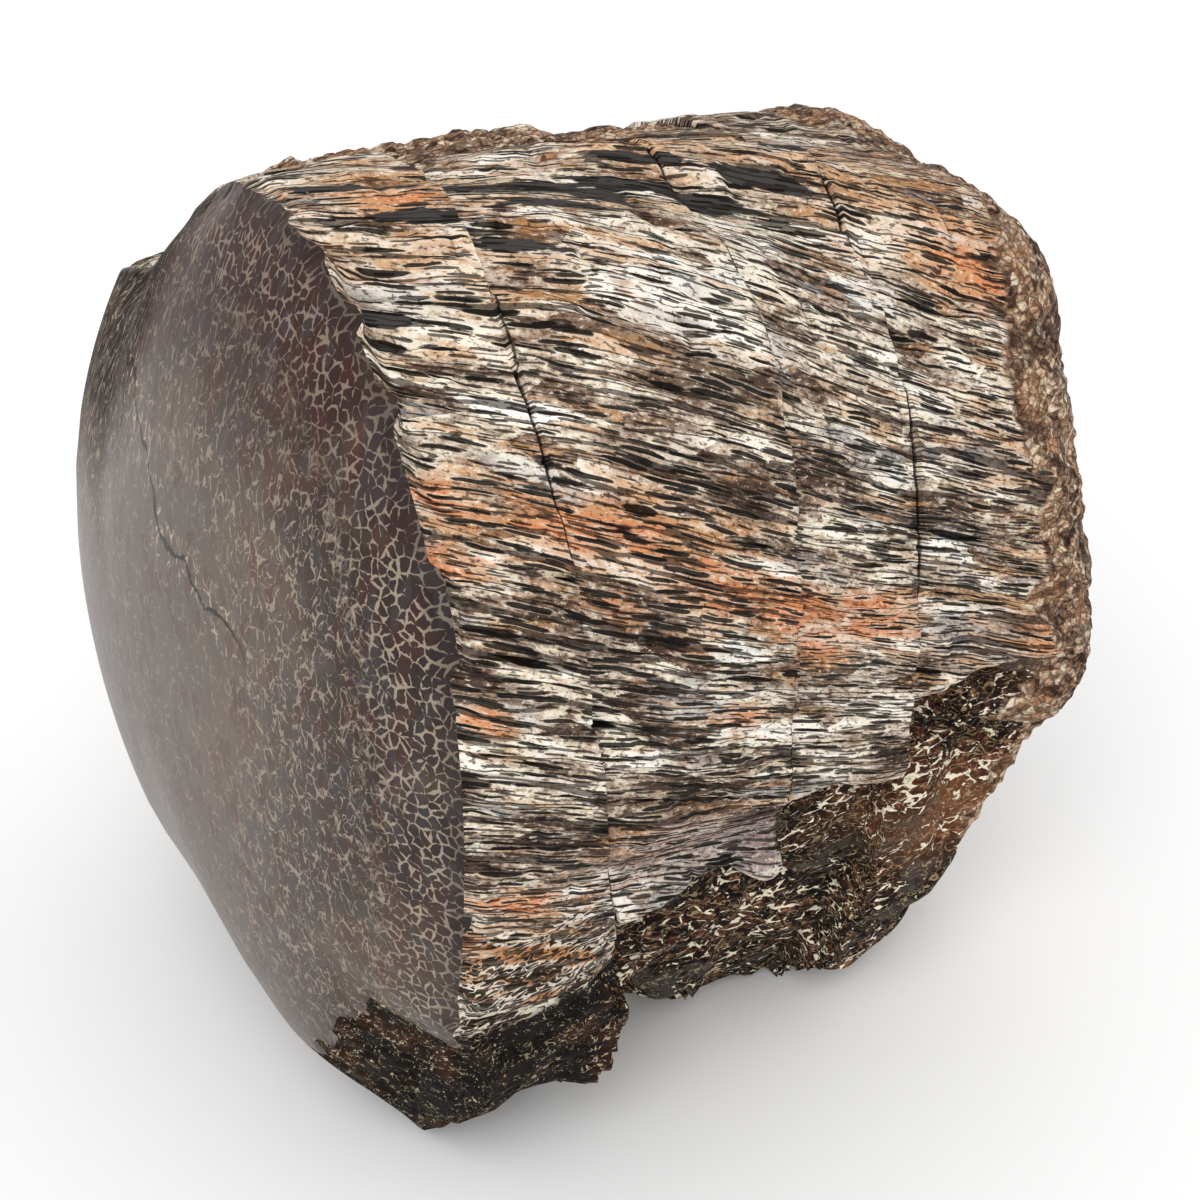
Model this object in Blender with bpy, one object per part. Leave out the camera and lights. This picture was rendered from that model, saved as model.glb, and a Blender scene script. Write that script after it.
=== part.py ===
"""A hand-sized piece of fossil limb bone with one polished end.

The piece lies on its side. +X runs along the shaft, from the polished end to the broken end.
-Y is the side whose bark still shows its layers, and +Z is up. The origin is the middle of the
piece's box at the height of the ground.

The surface is a sphere of quads pulled into shape. Its first rings cover the polished end, the
next ones run along the shaft, and the last ones cover the broken end. A ring's points are placed
by their angle about the shaft: 0 degrees at -Y, 90 degrees at the top.
"""
import itertools

import bmesh
import bpy
import numpy as np

MM = 0.001

# Driving dimensions
SHAFT_LENGTH = 64.0 * MM            # rim of the polished end to the edge of the broken end
CENTRE_Y = -4.0 * MM                # middle of the shaft, before the piece is centred
CENTRE_Z = 43.0 * MM                # height of the middle of the shaft
MIDDLE_AT = 18.0 * MM               # where the middle outline is measured
BOX_MIDDLE = (31.5 * MM, -4.0 * MM)  # moved to the origin at the end

# Outlines: radius every 20 degrees, from the near side over the top and round
RIM_OUTLINE = np.array([41.5, 44, 47.5, 49.5, 45.5, 38.5, 33, 37, 41.5,
                        42.5, 44, 45.5, 46, 45.5, 46, 47.5, 44.5, 41.5]) * MM
MIDDLE_OUTLINE = np.array([41, 43.5, 48, 51.5, 46.3, 41.2, 39, 39, 40.5,
                           42, 43.5, 45.5, 46.5, 47, 47.5, 48.5, 45.2, 41]) * MM
TAIL_OUTLINE = np.array([40, 40.5, 43, 44.5, 40, 37, 34.5, 34, 35,
                         37, 40, 43, 45, 46, 47, 48.5, 45, 41.5]) * MM

# A span is four angles in degrees: none below the first, all between the middle two, none
# above the last

# Polished end
DOME_RISE = 11.0 * MM               # how far the polished end bulges past its rim
DOME_POWER = 2.4                    # flat in the middle, rounder towards the rim
RIM_SETBACK = 4.0 * MM              # the rim curls under at the ground and at the back
RIM_FORWARD_SPAN = (-100, -40, 120, 170)
CHIP_DEPTH = 2.5 * MM               # corner broken off low on the near side
CHIP_SPAN = (-80, -66, -34, -22)
CHIP_INNER = 0.74                   # share of the radius where that break starts
CHIP_REACH = 5.0 * MM               # the bark follows the break this far along the shaft
CRUMBLE_DEPTH = 1.6 * MM            # crumbled rim at the top of the far side
CRUMBLE_SPAN = (78, 90, 125, 140)
CRUMBLE_INNER = 0.9

# Layers: cracks across the shaft part the bark into four, each a small step lower
LAYER_ENDS = np.array([12.5, 31.5, 44.5]) * MM
LAYER_DROPS = np.array([0.9, 0.5, 0.7]) * MM
SLAB_FOOT = 5.0 * MM                # the first layer is thicker near the ground
SLAB_FOOT_SPAN = (-150, -100, -40, 5)
SLAB_NECK = 1.5 * MM                # and thinner on its shoulder
SLAB_NECK_SPAN = (0, 25, 50, 80)
LEDGE_WIDTH = 0.8 * MM

# Spongy bone, which lies back under the bark's lower edge: one value for each layer
BARK_EDGES = np.radians([-22, -15, -8, 4])
SPONGE_DEPTHS = np.array([0.4, 6.0, 5.0, 2.5]) * MM
SPONGE_FADES = np.radians([-80, -86, -80, -52])
SPONGE_TURN = np.radians(32)        # the depth grows over this angle above the fade
SPONGE_SPAN = (-150, -100, 170, 180)
SPONGE_RUN_OUT = 10.0 * MM          # length over which it ends at the broken end
BARK_EDGE_TURN = np.radians(6)
BARK_EDGE_STRAY, BARK_EDGE_PERIOD = np.radians(5), 6.0 * MM

# Broken end
ROUNDING_START = 7.0 * MM           # rounding begins this far before the edge
ROUNDING_RUN = 4.0 * MM             # and runs this far past it
ROUNDING_DRAW_IN = 0.16             # share of the radius lost by then
ROUNDING_POWER = 2.2
LOW_CORNER_CUT = 7.5 * MM           # more is gone low on the near side
LOW_CORNER_SPAN = (-74, -55, -36, -10)
LOW_CORNER_LENGTH = 12.0 * MM
END_RISE = 3.0 * MM
END_TERRACE, END_TERRACE_SIZE = 2.0 * MM, 14.0 * MM
END_KNOB, END_KNOB_SIZE = 1.6 * MM, 7.0 * MM

# Relief of the raw surface: each with its height and the length over which it changes
EVEN_RADIUS = 43.0 * MM             # relief is read on an even cylinder of this radius
LUMP, LUMP_SIZE = 1.1 * MM, 15.0 * MM
RIDGE, RIDGE_WIDTH = 1.4 * MM, 6.0 * MM
PLATE, PLATE_WIDTH = 0.7 * MM, 11.0 * MM
KNOB, KNOB_SIZE = 2.4 * MM, 6.0 * MM
PLATE_STEEPNESS = 4.0
TERRACE_STEEPNESS = 3.0
FIBRE_STRETCH = 5.0                 # ridges are this much longer than wide
FIBRE_TURN = 10.0                   # radians per metre that the fibres turn round the shaft
FIBRE_TURN_LOW = 0.25               # share of that turn left on the underside
FIBRE_TURN_SPAN = (-40, 10, 120, 175)
LAYER_SHIFT = 40.0 * MM             # plates of one layer don't line up with the next
BARK_IN_SPONGE = 0.4                # share of the bark's relief left on spongy bone
RELIEF_START = 2.0 * MM             # no relief at the polished rim, all of it from here
# Pits: distance along the shaft, angle in degrees, radius and depth
PITS = (
    (35.5 * MM, -13, 4.0 * MM, 2.6 * MM),
    (17.5 * MM, -24, 5.0 * MM, 1.8 * MM),
    (51.0 * MM, 6, 3.5 * MM, 1.6 * MM),
    (56.0 * MM, -20, 4.5 * MM, 1.8 * MM),
    (24.0 * MM, 168, 7.0 * MM, 2.4 * MM),
    (47.0 * MM, 196, 6.0 * MM, 2.0 * MM),
    (52.0 * MM, 124, 6.0 * MM, 1.8 * MM),
)

# Fineness of the mesh
AROUND = 104
DOME_RINGS = 6
LAYER_RINGS = (6, 8, 6, 6)
RING_GAP = 1.0 * MM                 # between the rings on either side of a ledge
ROUNDING_RINGS = 7
END_RINGS = 9
SIDE_RINGS = 1 + sum(LAYER_RINGS) + ROUNDING_RINGS
RINGS = DOME_RINGS + SIDE_RINGS + END_RINGS
SHARP_EDGE = np.radians(35)

STONE_COLOUR = (0.29, 0.23, 0.18)
STONE_ROUGHNESS = 0.75


def ease(low, high, value):
    """0 at low, 1 at high, and a smooth curve between them."""
    share = np.clip((value - low) / (high - low), 0.0, 1.0)
    return share * share * (3.0 - 2.0 * share)


def wrap(angle):
    """The same angle between -180 and 180 degrees, in radians."""
    return (angle + np.pi) % (2.0 * np.pi) - np.pi


def within(span, angle):
    """1 in the middle of a span of angles, 0 outside it."""
    degrees = np.degrees(wrap(angle))
    return ease(span[0], span[1], degrees) * ease(span[3], span[2], degrees)


def closed_curve(values, angle):
    """A smooth closed curve through evenly spaced values, read at an angle."""
    place = angle / (2.0 * np.pi) * len(values)
    step = np.floor(place).astype(int)
    share = place - step
    before, here, after, beyond = (values[(step + k) % len(values)] for k in (-1, 0, 1, 2))
    bend = 2.0 * before - 5.0 * here + 4.0 * after - beyond
    twist = 3.0 * (here - after) + beyond - before
    return here + 0.5 * share * (after - before + share * (bend + share * twist))


def scatter(cell):
    """A fixed number between -1 and 1 for each whole-numbered cell, mixed by large primes."""
    mixed = cell[..., 0] * 73856093 ^ cell[..., 1] * 19349663 ^ cell[..., 2] * 83492791
    mixed = (mixed ^ (mixed >> 13)) * 60493
    return (mixed & 0xFFFF) / 32767.5 - 1.0


def noise(points, size):
    """A smooth random height between -1 and 1, changing over the given length."""
    place = points / size
    cell = np.floor(place).astype(np.int64)
    share = ease(0.0, 1.0, place - cell)
    height = 0.0
    for corner in itertools.product((0, 1), repeat=3):
        corner = np.array(corner)
        weight = np.prod(np.where(corner == 1, share, 1.0 - share), axis=-1)
        height = height + weight * scatter(cell + corner)
    return height


def layer_borders(angle):
    """Where each layer starts and ends along the shaft, at an angle: five borders."""
    foot = SLAB_FOOT * within(SLAB_FOOT_SPAN, angle)
    neck = SLAB_NECK * within(SLAB_NECK_SPAN, angle)
    return (RIM_SETBACK * (1.0 - within(RIM_FORWARD_SPAN, angle)),
            LAYER_ENDS[0] + foot - neck,
            LAYER_ENDS[1] + 0.0 * angle,
            LAYER_ENDS[2] + 0.0 * angle,
            SHAFT_LENGTH - ROUNDING_START + 0.0 * angle)


def layer_number(along, angle):
    """Which layer a place is in, counted from 0 at the polished end."""
    return sum((along > border).astype(int) for border in layer_borders(angle)[1:4])


def fibre_angle(along, angle):
    """An angle that stays the same along a fibre, since the fibres wind round the shaft."""
    turn = FIBRE_TURN_LOW + (1.0 - FIBRE_TURN_LOW) * within(FIBRE_TURN_SPAN, angle)
    return angle + FIBRE_TURN * turn * along


def on_cylinder(along, angle):
    """Points of the even cylinder, where noise closes round the shaft."""
    across = EVEN_RADIUS * np.cos(angle)
    up = EVEN_RADIUS * np.sin(angle)
    return np.stack([along + 0.0 * angle, across, up], axis=-1)


def sponge(along, angle):
    """Spongy bone under the bark's edge: its share, 0 or 1, and how deep it lies."""
    layer = layer_number(along, angle)
    stray = BARK_EDGE_STRAY * noise(on_cylinder(along, angle), BARK_EDGE_PERIOD)
    under = ease(0.0, BARK_EDGE_TURN, BARK_EDGES[layer] + stray - wrap(angle))
    depth = SPONGE_DEPTHS[layer] * ease(0.0, SPONGE_TURN, wrap(angle) - SPONGE_FADES[layer])
    depth = depth * ease(SHAFT_LENGTH, SHAFT_LENGTH - SPONGE_RUN_OUT, along)
    return under * within(SPONGE_SPAN, angle), under * depth


def relief(along, angle):
    """Lumps, ridges along the fibres and low plates between the cracks, as one height."""
    straight = on_cylinder(along, angle)
    wound = on_cylinder(along / FIBRE_STRETCH, fibre_angle(along, angle))
    stepped = wound + LAYER_SHIFT * layer_number(along, angle)[..., None]
    lump = noise(straight, LUMP_SIZE)
    ridge = noise(wound, RIDGE_WIDTH)
    plate = np.tanh(PLATE_STEEPNESS * noise(stepped, PLATE_WIDTH))
    knob = noise(straight, KNOB_SIZE)
    porous = sponge(along, angle)[0]
    bark = LUMP * lump + RIDGE * ridge + PLATE * plate
    return bark * (1.0 - porous + BARK_IN_SPONGE * porous) + KNOB * knob * porous


def pits(along, angle, radius):
    """The sum of the round pits, each deepest in its middle."""
    depth = np.zeros_like(angle)
    for place, degrees, size, deepest in PITS:
        across = wrap(angle - np.radians(degrees)) * radius
        apart = (along - place) ** 2 + across ** 2
        depth += deepest * np.exp(-2.0 * apart / size ** 2)
    return depth


def outline_radius(along, angle):
    """Radius of the plain form: the rim's outline, then the middle's, then the tail's."""
    middle = ease(0.0, MIDDLE_AT, along)
    tail = np.clip((along - MIDDLE_AT) / (SHAFT_LENGTH - MIDDLE_AT), 0.0, 1.0)
    radius = closed_curve(RIM_OUTLINE, angle) * (1.0 - middle)
    radius = radius + closed_curve(MIDDLE_OUTLINE, angle) * middle
    return radius * (1.0 - tail) + closed_curve(TAIL_OUTLINE, angle) * tail


def shaft_radius(along, angle):
    """Radius of the raw surface at a place along the shaft."""
    radius = outline_radius(along, angle)
    borders = layer_borders(angle)
    for border, drop in zip(borders[1:4], LAYER_DROPS):
        radius = radius - drop * ease(-0.5 * LEDGE_WIDTH, 0.5 * LEDGE_WIDTH, along - border)
    radius = radius - sponge(along, angle)[1]
    raw = ease(0.0, RELIEF_START, along - borders[0])
    radius = radius + raw * relief(along, angle) - pits(along, angle, radius)
    past = (along - SHAFT_LENGTH + ROUNDING_START) / (ROUNDING_START + ROUNDING_RUN)
    shrink = 1.0 - ROUNDING_DRAW_IN * np.clip(past, 0.0, 1.0) ** ROUNDING_POWER
    corner = ease(SHAFT_LENGTH - LOW_CORNER_LENGTH, SHAFT_LENGTH, along)
    return radius * shrink - LOW_CORNER_CUT * corner * within(LOW_CORNER_SPAN, angle)


def place_point(along, angle, radius):
    """Points in space, with nothing below the ground."""
    across = CENTRE_Y - radius * np.cos(angle)
    up = CENTRE_Z + radius * np.sin(angle)
    return np.stack([along + 0.0 * angle, across, np.maximum(up, 0.0)], axis=-1)


def shaft_stations(angle):
    """How far along the shaft each of its rings lies at an angle, ring by ring."""
    borders = layer_borders(angle)
    stations = [borders[0]]
    for layer, rings in enumerate(LAYER_RINGS):
        first = borders[layer] + 0.5 * RING_GAP
        last = borders[layer + 1] - 0.5 * RING_GAP
        stations += [first + (last - first) * share for share in np.linspace(0.0, 1.0, rings)]
    for step in range(1, ROUNDING_RINGS + 1):
        past = (ROUNDING_START + ROUNDING_RUN) * step / ROUNDING_RINGS
        stations.append(borders[4] + past)
    return stations


def polished_point(share, angle):
    """A point of the polished end, at a share of the radius from its middle to its rim."""
    start = layer_borders(angle)[0]
    rim = place_point(start, angle, shaft_radius(start, angle))
    middle = np.array([0.0, CENTRE_Y, CENTRE_Z])
    point = middle + (rim - middle) * share
    point[:, 0] = start * share ** 2 - DOME_RISE * (1.0 - share ** DOME_POWER)
    chip = within(CHIP_SPAN, angle) * ease(CHIP_INNER, 1.0, share)
    crumble = within(CRUMBLE_SPAN, angle) * ease(CRUMBLE_INNER, 1.0, share)
    point[:, 0] += CHIP_DEPTH * chip + CRUMBLE_DEPTH * crumble
    return point


def broken_point(share, angle):
    """A point of the broken end, at a share of the radius from its middle to its edge."""
    last = SHAFT_LENGTH + ROUNDING_RUN
    edge = place_point(last, angle, shaft_radius(last + 0.0 * angle, angle))
    middle = np.array([last, CENTRE_Y, CENTRE_Z])
    point = middle + (edge - middle) * share
    terrace = np.tanh(TERRACE_STEEPNESS * noise(point, END_TERRACE_SIZE))
    knob = noise(point, END_KNOB_SIZE)
    rough = END_TERRACE * terrace + END_KNOB * knob
    point[:, 0] += (1.0 - share ** 4) * (END_RISE * (1.0 - share ** 2) + rough)
    return point


def surface_point(ring, angle):
    """Points of one ring, numbered from the middle of the polished end."""
    if ring < DOME_RINGS:
        return polished_point(ring / DOME_RINGS, angle)
    if ring >= DOME_RINGS + SIDE_RINGS:
        return broken_point((RINGS - ring) / (END_RINGS + 1), angle)
    start = layer_borders(angle)[0]
    along = shaft_stations(angle)[ring - DOME_RINGS]
    break_depth = polished_point(1.0, angle)[:, 0] - start
    along = along + break_depth * ease(CHIP_REACH, 0.0, along - start)
    return place_point(along, angle, shaft_radius(along, angle))


def bone_mesh():
    """The closed surface, from a sphere of quads whose rings become the rings of the piece."""
    mesh = bpy.data.meshes.new("bone_fragment")
    shape = bmesh.new()
    bmesh.ops.create_uvsphere(shape, u_segments=AROUND, v_segments=RINGS, radius=1.0)
    ball = np.array([vertex.co[:] for vertex in shape.verts])
    ring = np.rint(np.arccos(np.clip(ball[:, 2], -1.0, 1.0)) / np.pi * RINGS).astype(int)
    angle = np.arctan2(ball[:, 1], ball[:, 0])
    points = np.zeros_like(ball)
    for number in range(RINGS + 1):
        chosen = ring == number
        points[chosen] = surface_point(number, angle[chosen])
    points[:, :2] -= BOX_MIDDLE
    for vertex, point in zip(shape.verts, points):
        vertex.co = point
    bmesh.ops.triangulate(shape, faces=shape.faces[:])
    for face in shape.faces:
        face.smooth = True
    shape.to_mesh(mesh)
    shape.free()
    mesh.set_sharp_from_angle(angle=SHARP_EDGE)
    return mesh


def stone_material(name):
    """A plain stone colour."""
    material = bpy.data.materials.new(name)
    material.use_nodes = True
    shader = material.node_tree.nodes["Principled BSDF"]
    shader.inputs["Base Color"].default_value = (*STONE_COLOUR, 1.0)
    shader.inputs["Roughness"].default_value = STONE_ROUGHNESS
    shader.inputs["Metallic"].default_value = 0.0
    return material


def main():
    for item in list(bpy.data.objects):
        bpy.data.objects.remove(item)
    bone = bpy.data.objects.new("bone_fragment", bone_mesh())
    bone.data.materials.append(stone_material("fossil_bone"))
    bpy.context.scene.collection.objects.link(bone)


main()
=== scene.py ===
"""Surface, finish and stage for a hand-sized piece of fossil limb bone with one polished end.

The visible bone is one closed surface of two parameters: the angle about the shaft, and a row
number that runs over the polished end, along the shaft and over the broken end. It follows the
solid's form and adds the finer relief that a touch would find: splinters, plates, slits along
the fibres, open pores and grains. Lengths are in metres unless a name says millimetres.
"""
import itertools
import math

import bpy
import numpy as np
from mathutils import Euler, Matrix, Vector


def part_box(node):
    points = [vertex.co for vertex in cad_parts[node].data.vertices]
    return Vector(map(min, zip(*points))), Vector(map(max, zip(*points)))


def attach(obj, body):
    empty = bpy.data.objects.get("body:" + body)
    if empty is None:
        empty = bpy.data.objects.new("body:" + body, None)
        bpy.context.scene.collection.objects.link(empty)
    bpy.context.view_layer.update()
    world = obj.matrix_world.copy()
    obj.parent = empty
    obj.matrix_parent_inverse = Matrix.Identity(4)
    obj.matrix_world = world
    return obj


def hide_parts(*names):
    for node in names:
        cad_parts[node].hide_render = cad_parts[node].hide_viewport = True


bl_info = {
    "name": "Fossil bone fragment",
    "version": (1, 0, 0),
    "blender": (4, 5, 0),
    "location": "View3D > Sidebar > Fossil",
    "description": "Builds the surface and finish of a fossil bone fragment, and its stage",
    "category": "Object",
}

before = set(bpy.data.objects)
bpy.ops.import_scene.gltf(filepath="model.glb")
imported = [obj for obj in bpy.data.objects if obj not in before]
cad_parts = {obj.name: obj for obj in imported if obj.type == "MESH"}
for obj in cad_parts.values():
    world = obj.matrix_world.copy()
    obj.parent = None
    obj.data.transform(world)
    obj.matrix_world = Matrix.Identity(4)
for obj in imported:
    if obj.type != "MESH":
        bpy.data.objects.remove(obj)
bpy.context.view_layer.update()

MM = 0.001
BONE = "bone_fragment"

# Form, as in the solid. Distances run along the shaft from the polished rim, angles about the
# shaft run from the near side over the top
SHAFT_LENGTH = 64.0 * MM
CENTRE_Y = -4.0 * MM
CENTRE_Z = 43.0 * MM
MIDDLE_AT = 18.0 * MM
BOX_MIDDLE = (31.5 * MM, -4.0 * MM)
RIM_OUTLINE = np.array([41.5, 44, 47.5, 49.5, 45.5, 38.5, 33, 37, 41.5,
                        42.5, 44, 45.5, 46, 45.5, 46, 47.5, 44.5, 41.5]) * MM
MIDDLE_OUTLINE = np.array([41, 43.5, 48, 51.5, 46.3, 41.2, 39, 39, 40.5,
                           42, 43.5, 45.5, 46.5, 47, 47.5, 48.5, 45.2, 41]) * MM
TAIL_OUTLINE = np.array([40, 40.5, 43, 44.5, 40, 37, 34.5, 34, 35,
                         37, 40, 43, 45, 46, 47, 48.5, 45, 41.5]) * MM

# A span is four angles in degrees: none below the first, all between the middle two, none
# above the last
DOME_POWER = 2.4
RIM_SETBACK = 4.0 * MM
RIM_FORWARD_SPAN = (-100, -40, 120, 170)
CHIP_DEPTH = 2.5 * MM
CHIP_SPAN = (-80, -66, -34, -22)
CHIP_INNER = 0.74
CHIP_REACH = 5.0 * MM
CRUMBLE_DEPTH = 1.6 * MM
CRUMBLE_SPAN = (78, 90, 125, 140)
CRUMBLE_INNER = 0.9
CRUMBLE_FADE = (0.42, 0.8)
CRUMBLE_MARK_SPAN = (84, 100, 150, 165)
LAYER_ENDS = np.array([12.5, 31.5, 44.5]) * MM
LAYER_DROPS = np.array([0.9, 0.5, 0.7]) * MM
SLAB_FOOT = 5.0 * MM
SLAB_FOOT_SPAN = (-150, -100, -40, 5)
SLAB_NECK = 1.5 * MM
SLAB_NECK_SPAN = (0, 25, 50, 80)
SLAB_CURL_SPAN = (-40, -20, -13, -5)
LEDGE_WIDTH = 0.5 * MM
BARK_EDGES = np.radians([-22, -15, -8, 4])
SPONGE_DEPTHS = np.array([0.4, 6.0, 5.0, 2.5]) * MM
SPONGE_FADES = np.radians([-80, -86, -80, -52])
SPONGE_TURN = np.radians(32)
SPONGE_SPAN = (-150, -100, 170, 180)
SPONGE_RUN_OUT = 10.0 * MM
BARK_EDGE_TURN = np.radians(6)
BARK_EDGE_STRAY, BARK_EDGE_PERIOD = np.radians(5), 6.0 * MM
WANDER, WANDER_SIZE = 3.0 * MM, 5.0 * MM
WANDER_FROM, WANDER_TO = np.radians(-26), np.radians(-36)
ROUNDING_START = 7.0 * MM
ROUNDING_RUN = 4.0 * MM
ROUNDING_DRAW_IN = 0.16
ROUNDING_POWER = 2.2
LOW_CORNER_CUT = 7.5 * MM
LOW_CORNER_SPAN = (-74, -55, -36, -10)
LOW_CORNER_LENGTH = 12.0 * MM
END_RISE = 3.0 * MM
END_TERRACE, END_TERRACE_SIZE = 2.0 * MM, 14.0 * MM
END_KNOB, END_KNOB_SIZE = 1.6 * MM, 7.0 * MM
EVEN_RADIUS = 43.0 * MM
LUMP, LUMP_SIZE = 1.1 * MM, 15.0 * MM
RIDGE, RIDGE_WIDTH = 1.4 * MM, 6.0 * MM
PLATE, PLATE_WIDTH = 0.7 * MM, 11.0 * MM
KNOB, KNOB_SIZE = 2.4 * MM, 6.0 * MM
PLATE_STEEPNESS = 4.0
TERRACE_STEEPNESS = 3.0
FIBRE_STRETCH = 5.0
FIBRE_TURN_LOW = 0.25
FIBRE_TURN_SPAN = (-40, 10, 120, 175)
LAYER_SHIFT = 40.0 * MM
BARK_IN_SPONGE = 0.4
RELIEF_START = 2.0 * MM
PITS = (
    (35.5 * MM, -13, 4.0 * MM, 2.6 * MM),
    (17.5 * MM, -24, 5.0 * MM, 1.8 * MM),
    (51.0 * MM, 6, 3.5 * MM, 1.6 * MM),
    (56.0 * MM, -20, 4.5 * MM, 1.8 * MM),
    (24.0 * MM, 168, 7.0 * MM, 2.4 * MM),
    (47.0 * MM, 196, 6.0 * MM, 2.0 * MM),
    (52.0 * MM, 124, 6.0 * MM, 1.8 * MM),
)

# Fineness of the surface: rows over each part, and a leaning of the columns to the near side,
# where the fibres are finest
DOME_ROWS = (6, 20)                 # over the smooth middle, and out to the rim
DOME_SPLIT = 0.7                    # share of the radius where the second set starts
LAYER_ROWS = (19, 30, 20, 18)
ROW_GAP = 0.5 * MM
ROUNDING_ROWS = 14
END_ROWS = 45
BORDER_LOOKS = 4                    # a column's place on a border is looked up this often
COLUMN_LEAN = 0.3
COLUMN_LEAN_TO = np.radians(30)
COLUMN_TURN_SPAN = (-130, 10, 70, 179)
SHARP_EDGE = np.radians(50)         # edges bent more than this are shaded sharp
FINE_START = 0.6 * MM               # the fine relief sets in over this far from the rim

# Fine relief. A noise is its height, its spacing (one, or one along the fibres and two across
# them) and the salt that picks its scatter. Cells are a depth, the distances from a wall where
# it starts and is full, in cells, then spacing and salt. Lengths in both are in millimetres
FIBRE_SWAY = (0.5, (9.0, 5.0, 5.0), 11)
SPLINTERS = (0.22, (9.0, 1.5, 1.5), 71)
SPONGE_KNOBS = (0.5, 3.0, 91)
SPONGE_PORES = (1.0, 0.06, 0.3, (2.6, 1.5, 1.5), 81)
CRUST_KNOBS = (0.5, 3.2, 111)
CRUST_GAPS = (0.5, 0.25, 0.0, 2.4, 101)
CRUST_STRAYS = ((3.0, 7.0, 121), (2.0, 2.6, 251))
END_GRAINS = ((0.9, 3.4, 171), (0.5, 1.7, 181))
END_GAPS = (0.9, 0.22, 0.0, 4.2, 191)
MARROW_HOLES = (1.3, 0.12, 0.4, 2.6, 241)
CHIP_CELLS = (0.7, 0.05, 0.28, 1.6, 151)

# Noises whose height is a plain share
CREST_STRAY = (0.12, 6.0, 131)
CREST_PATCHES = (1.0, 8.0, 271)
SEAM_PATCHES = (1.0, (8.0, 4.0, 4.0), 41)
MARROW_STRAYS = ((0.3, 10.0, 231), (0.1, 2.2, 261))
MARROW_PATCHES = (1.0, 8.0, 281)
CHIP_STRAY = (0.06, 4.0, 141)
RIM_CHIPS = ((1.0, 3.4, 201), (0.5, 1.3, 211))

# Plates and lens-shaped marks: length, width and salt
WIDE_PLATES = (11.0 * MM, 4.2 * MM, 21)
THIN_PLATES = (5.0 * MM, 1.5 * MM, 31)
SLITS = (9.0 * MM, 1.4 * MM, 51)
SMALL_SLITS = (5.0 * MM, 1.0 * MM, 61)
RIM_SLOTS = (5.0 * MM, 1.5 * MM, 161)
MARK_STRAY = 0.45                   # how far a mark strays from the middle of its cell
FAR_OFF = 9.0                       # in cells, further than any mark that counts

PLATE_SHIFT = 0.3                   # radians that the wide plates are set off at each ledge
WIDE_STEP, THIN_STEP = 0.22 * MM, 0.12 * MM
WIDE_TONE, THIN_TONE = 0.6, 0.4     # what the plates of each kind add to the tone
BAND_WANDERS = ((0.45, 1.6), (0.2, 0.6))    # by how many widths, and over how many
PIECE_SPREAD, PIECE_SHIFT = 0.5, 3.0
SEAM_DEPTH = 0.28 * MM
SEAM_WIDTH, SEAM_LEAST, BREAK_WIDTH = 0.35 * MM, 0.1 * MM, 0.22 * MM
SEAM_LIMITS = (-0.4, 0.8)
THIN_SEAM_WIDTH, THIN_SEAM_LEAST, THIN_SEAM_TONE = 0.6, 0.05 * MM, 0.8
SLIT_DEPTH, SLIT_WALL = 0.62 * MM, (0.1, 0.42)
SMALL_SLIT_DEPTH, SMALL_SLIT_WALL = 0.35 * MM, (0.1, 0.4)
CRUST_START, CRUST_FULL = 9.0 * MM, 3.0 * MM    # before the end of the shaft
CREST_SPAN, CREST_START = (74, 84, 112, 124), (2.0 * MM, 10.0 * MM)
CREST_LIMITS = (-0.45, -0.1)
MARROW_EDGE, MARROW_LIMITS = (0.8, 0.6), (0.3, 0.5)
CHIP_MARK = (CHIP_INNER + 0.02, CHIP_INNER + 0.06)
RIM_CHIP_DEPTH, RIM_CHIP_FULL = 0.9 * MM, 0.6
RIM_CHIP_INNER, RIM_CHIP_REACH = 0.975, 1.5 * MM
RIM_SLOT_DEPTH, RIM_SLOT_WALL, RIM_SLOT_FADE = 0.8 * MM, (0.1, 0.5), (0.3, 0.8)

# Markings: distance along the shaft in millimetres, angle in degrees, size in millimetres
RUST_SPOTS = ((2.5, 41, 2.6), (0.5, 36, 2.0), (11, 35.5, 3.6), (17, 33, 3.4), (14.3, 26.5, 2.0),
              (2.5, 20, 1.8), (24, 25.5, 4.2), (32, 19, 4.6), (40, 15, 4.0), (34, 14, 3.0),
              (54, -4, 3.2), (62, 1, 4.6), (63, 14, 3.0), (55, -36, 4.0), (5, -4, 3.0),
              (0.5, -7, 1.6), (26, 9, 2.0), (8, 70, 3.0), (30, 76, 4.0), (56, 50, 5.0),
              (20, 150, 5.0), (45, 200, 6.0), (30, 232, 4.0), (10, 190, 3.0))
PALE_SPOTS = ((14.5, 58, 4.5), (24, 53, 6.0), (5, 47, 5.0), (11.5, 46.5, 5.0), (2.5, 33.5, 3.4),
              (49.5, 13.5, 4.0), (44, 10, 3.0), (20, 11, 4.6), (28, 11, 5.0), (38, 2, 5.0),
              (4, 12, 6.0), (32, 56, 5.0), (44, 58, 4.0), (44, 27.5, 2.6), (28, 17, 4.0),
              (7, -8, 6.0), (30, 0, 5.0))
DARK_SPOTS = ((21, 38, 3.0), (37, 31, 3.0), (17, 27, 4.0), (2.5, 24, 4.0), (14.6, 16, 4.0),
              (13, 1, 3.0), (54, 6, 3.2), (49.5, -7, 4.0), (36.8, -22, 4.0), (54, 29, 5.0),
              (8, 26, 4.0), (6, 3, 6.0), (22, -2, 7.0), (30, -8, 6.0), (40, -4, 5.0),
              (10, 9, 5.0), (26, 5, 5.0),
              (30, 170, 9.0), (45, 215, 8.0), (12, 210, 7.0))
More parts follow.
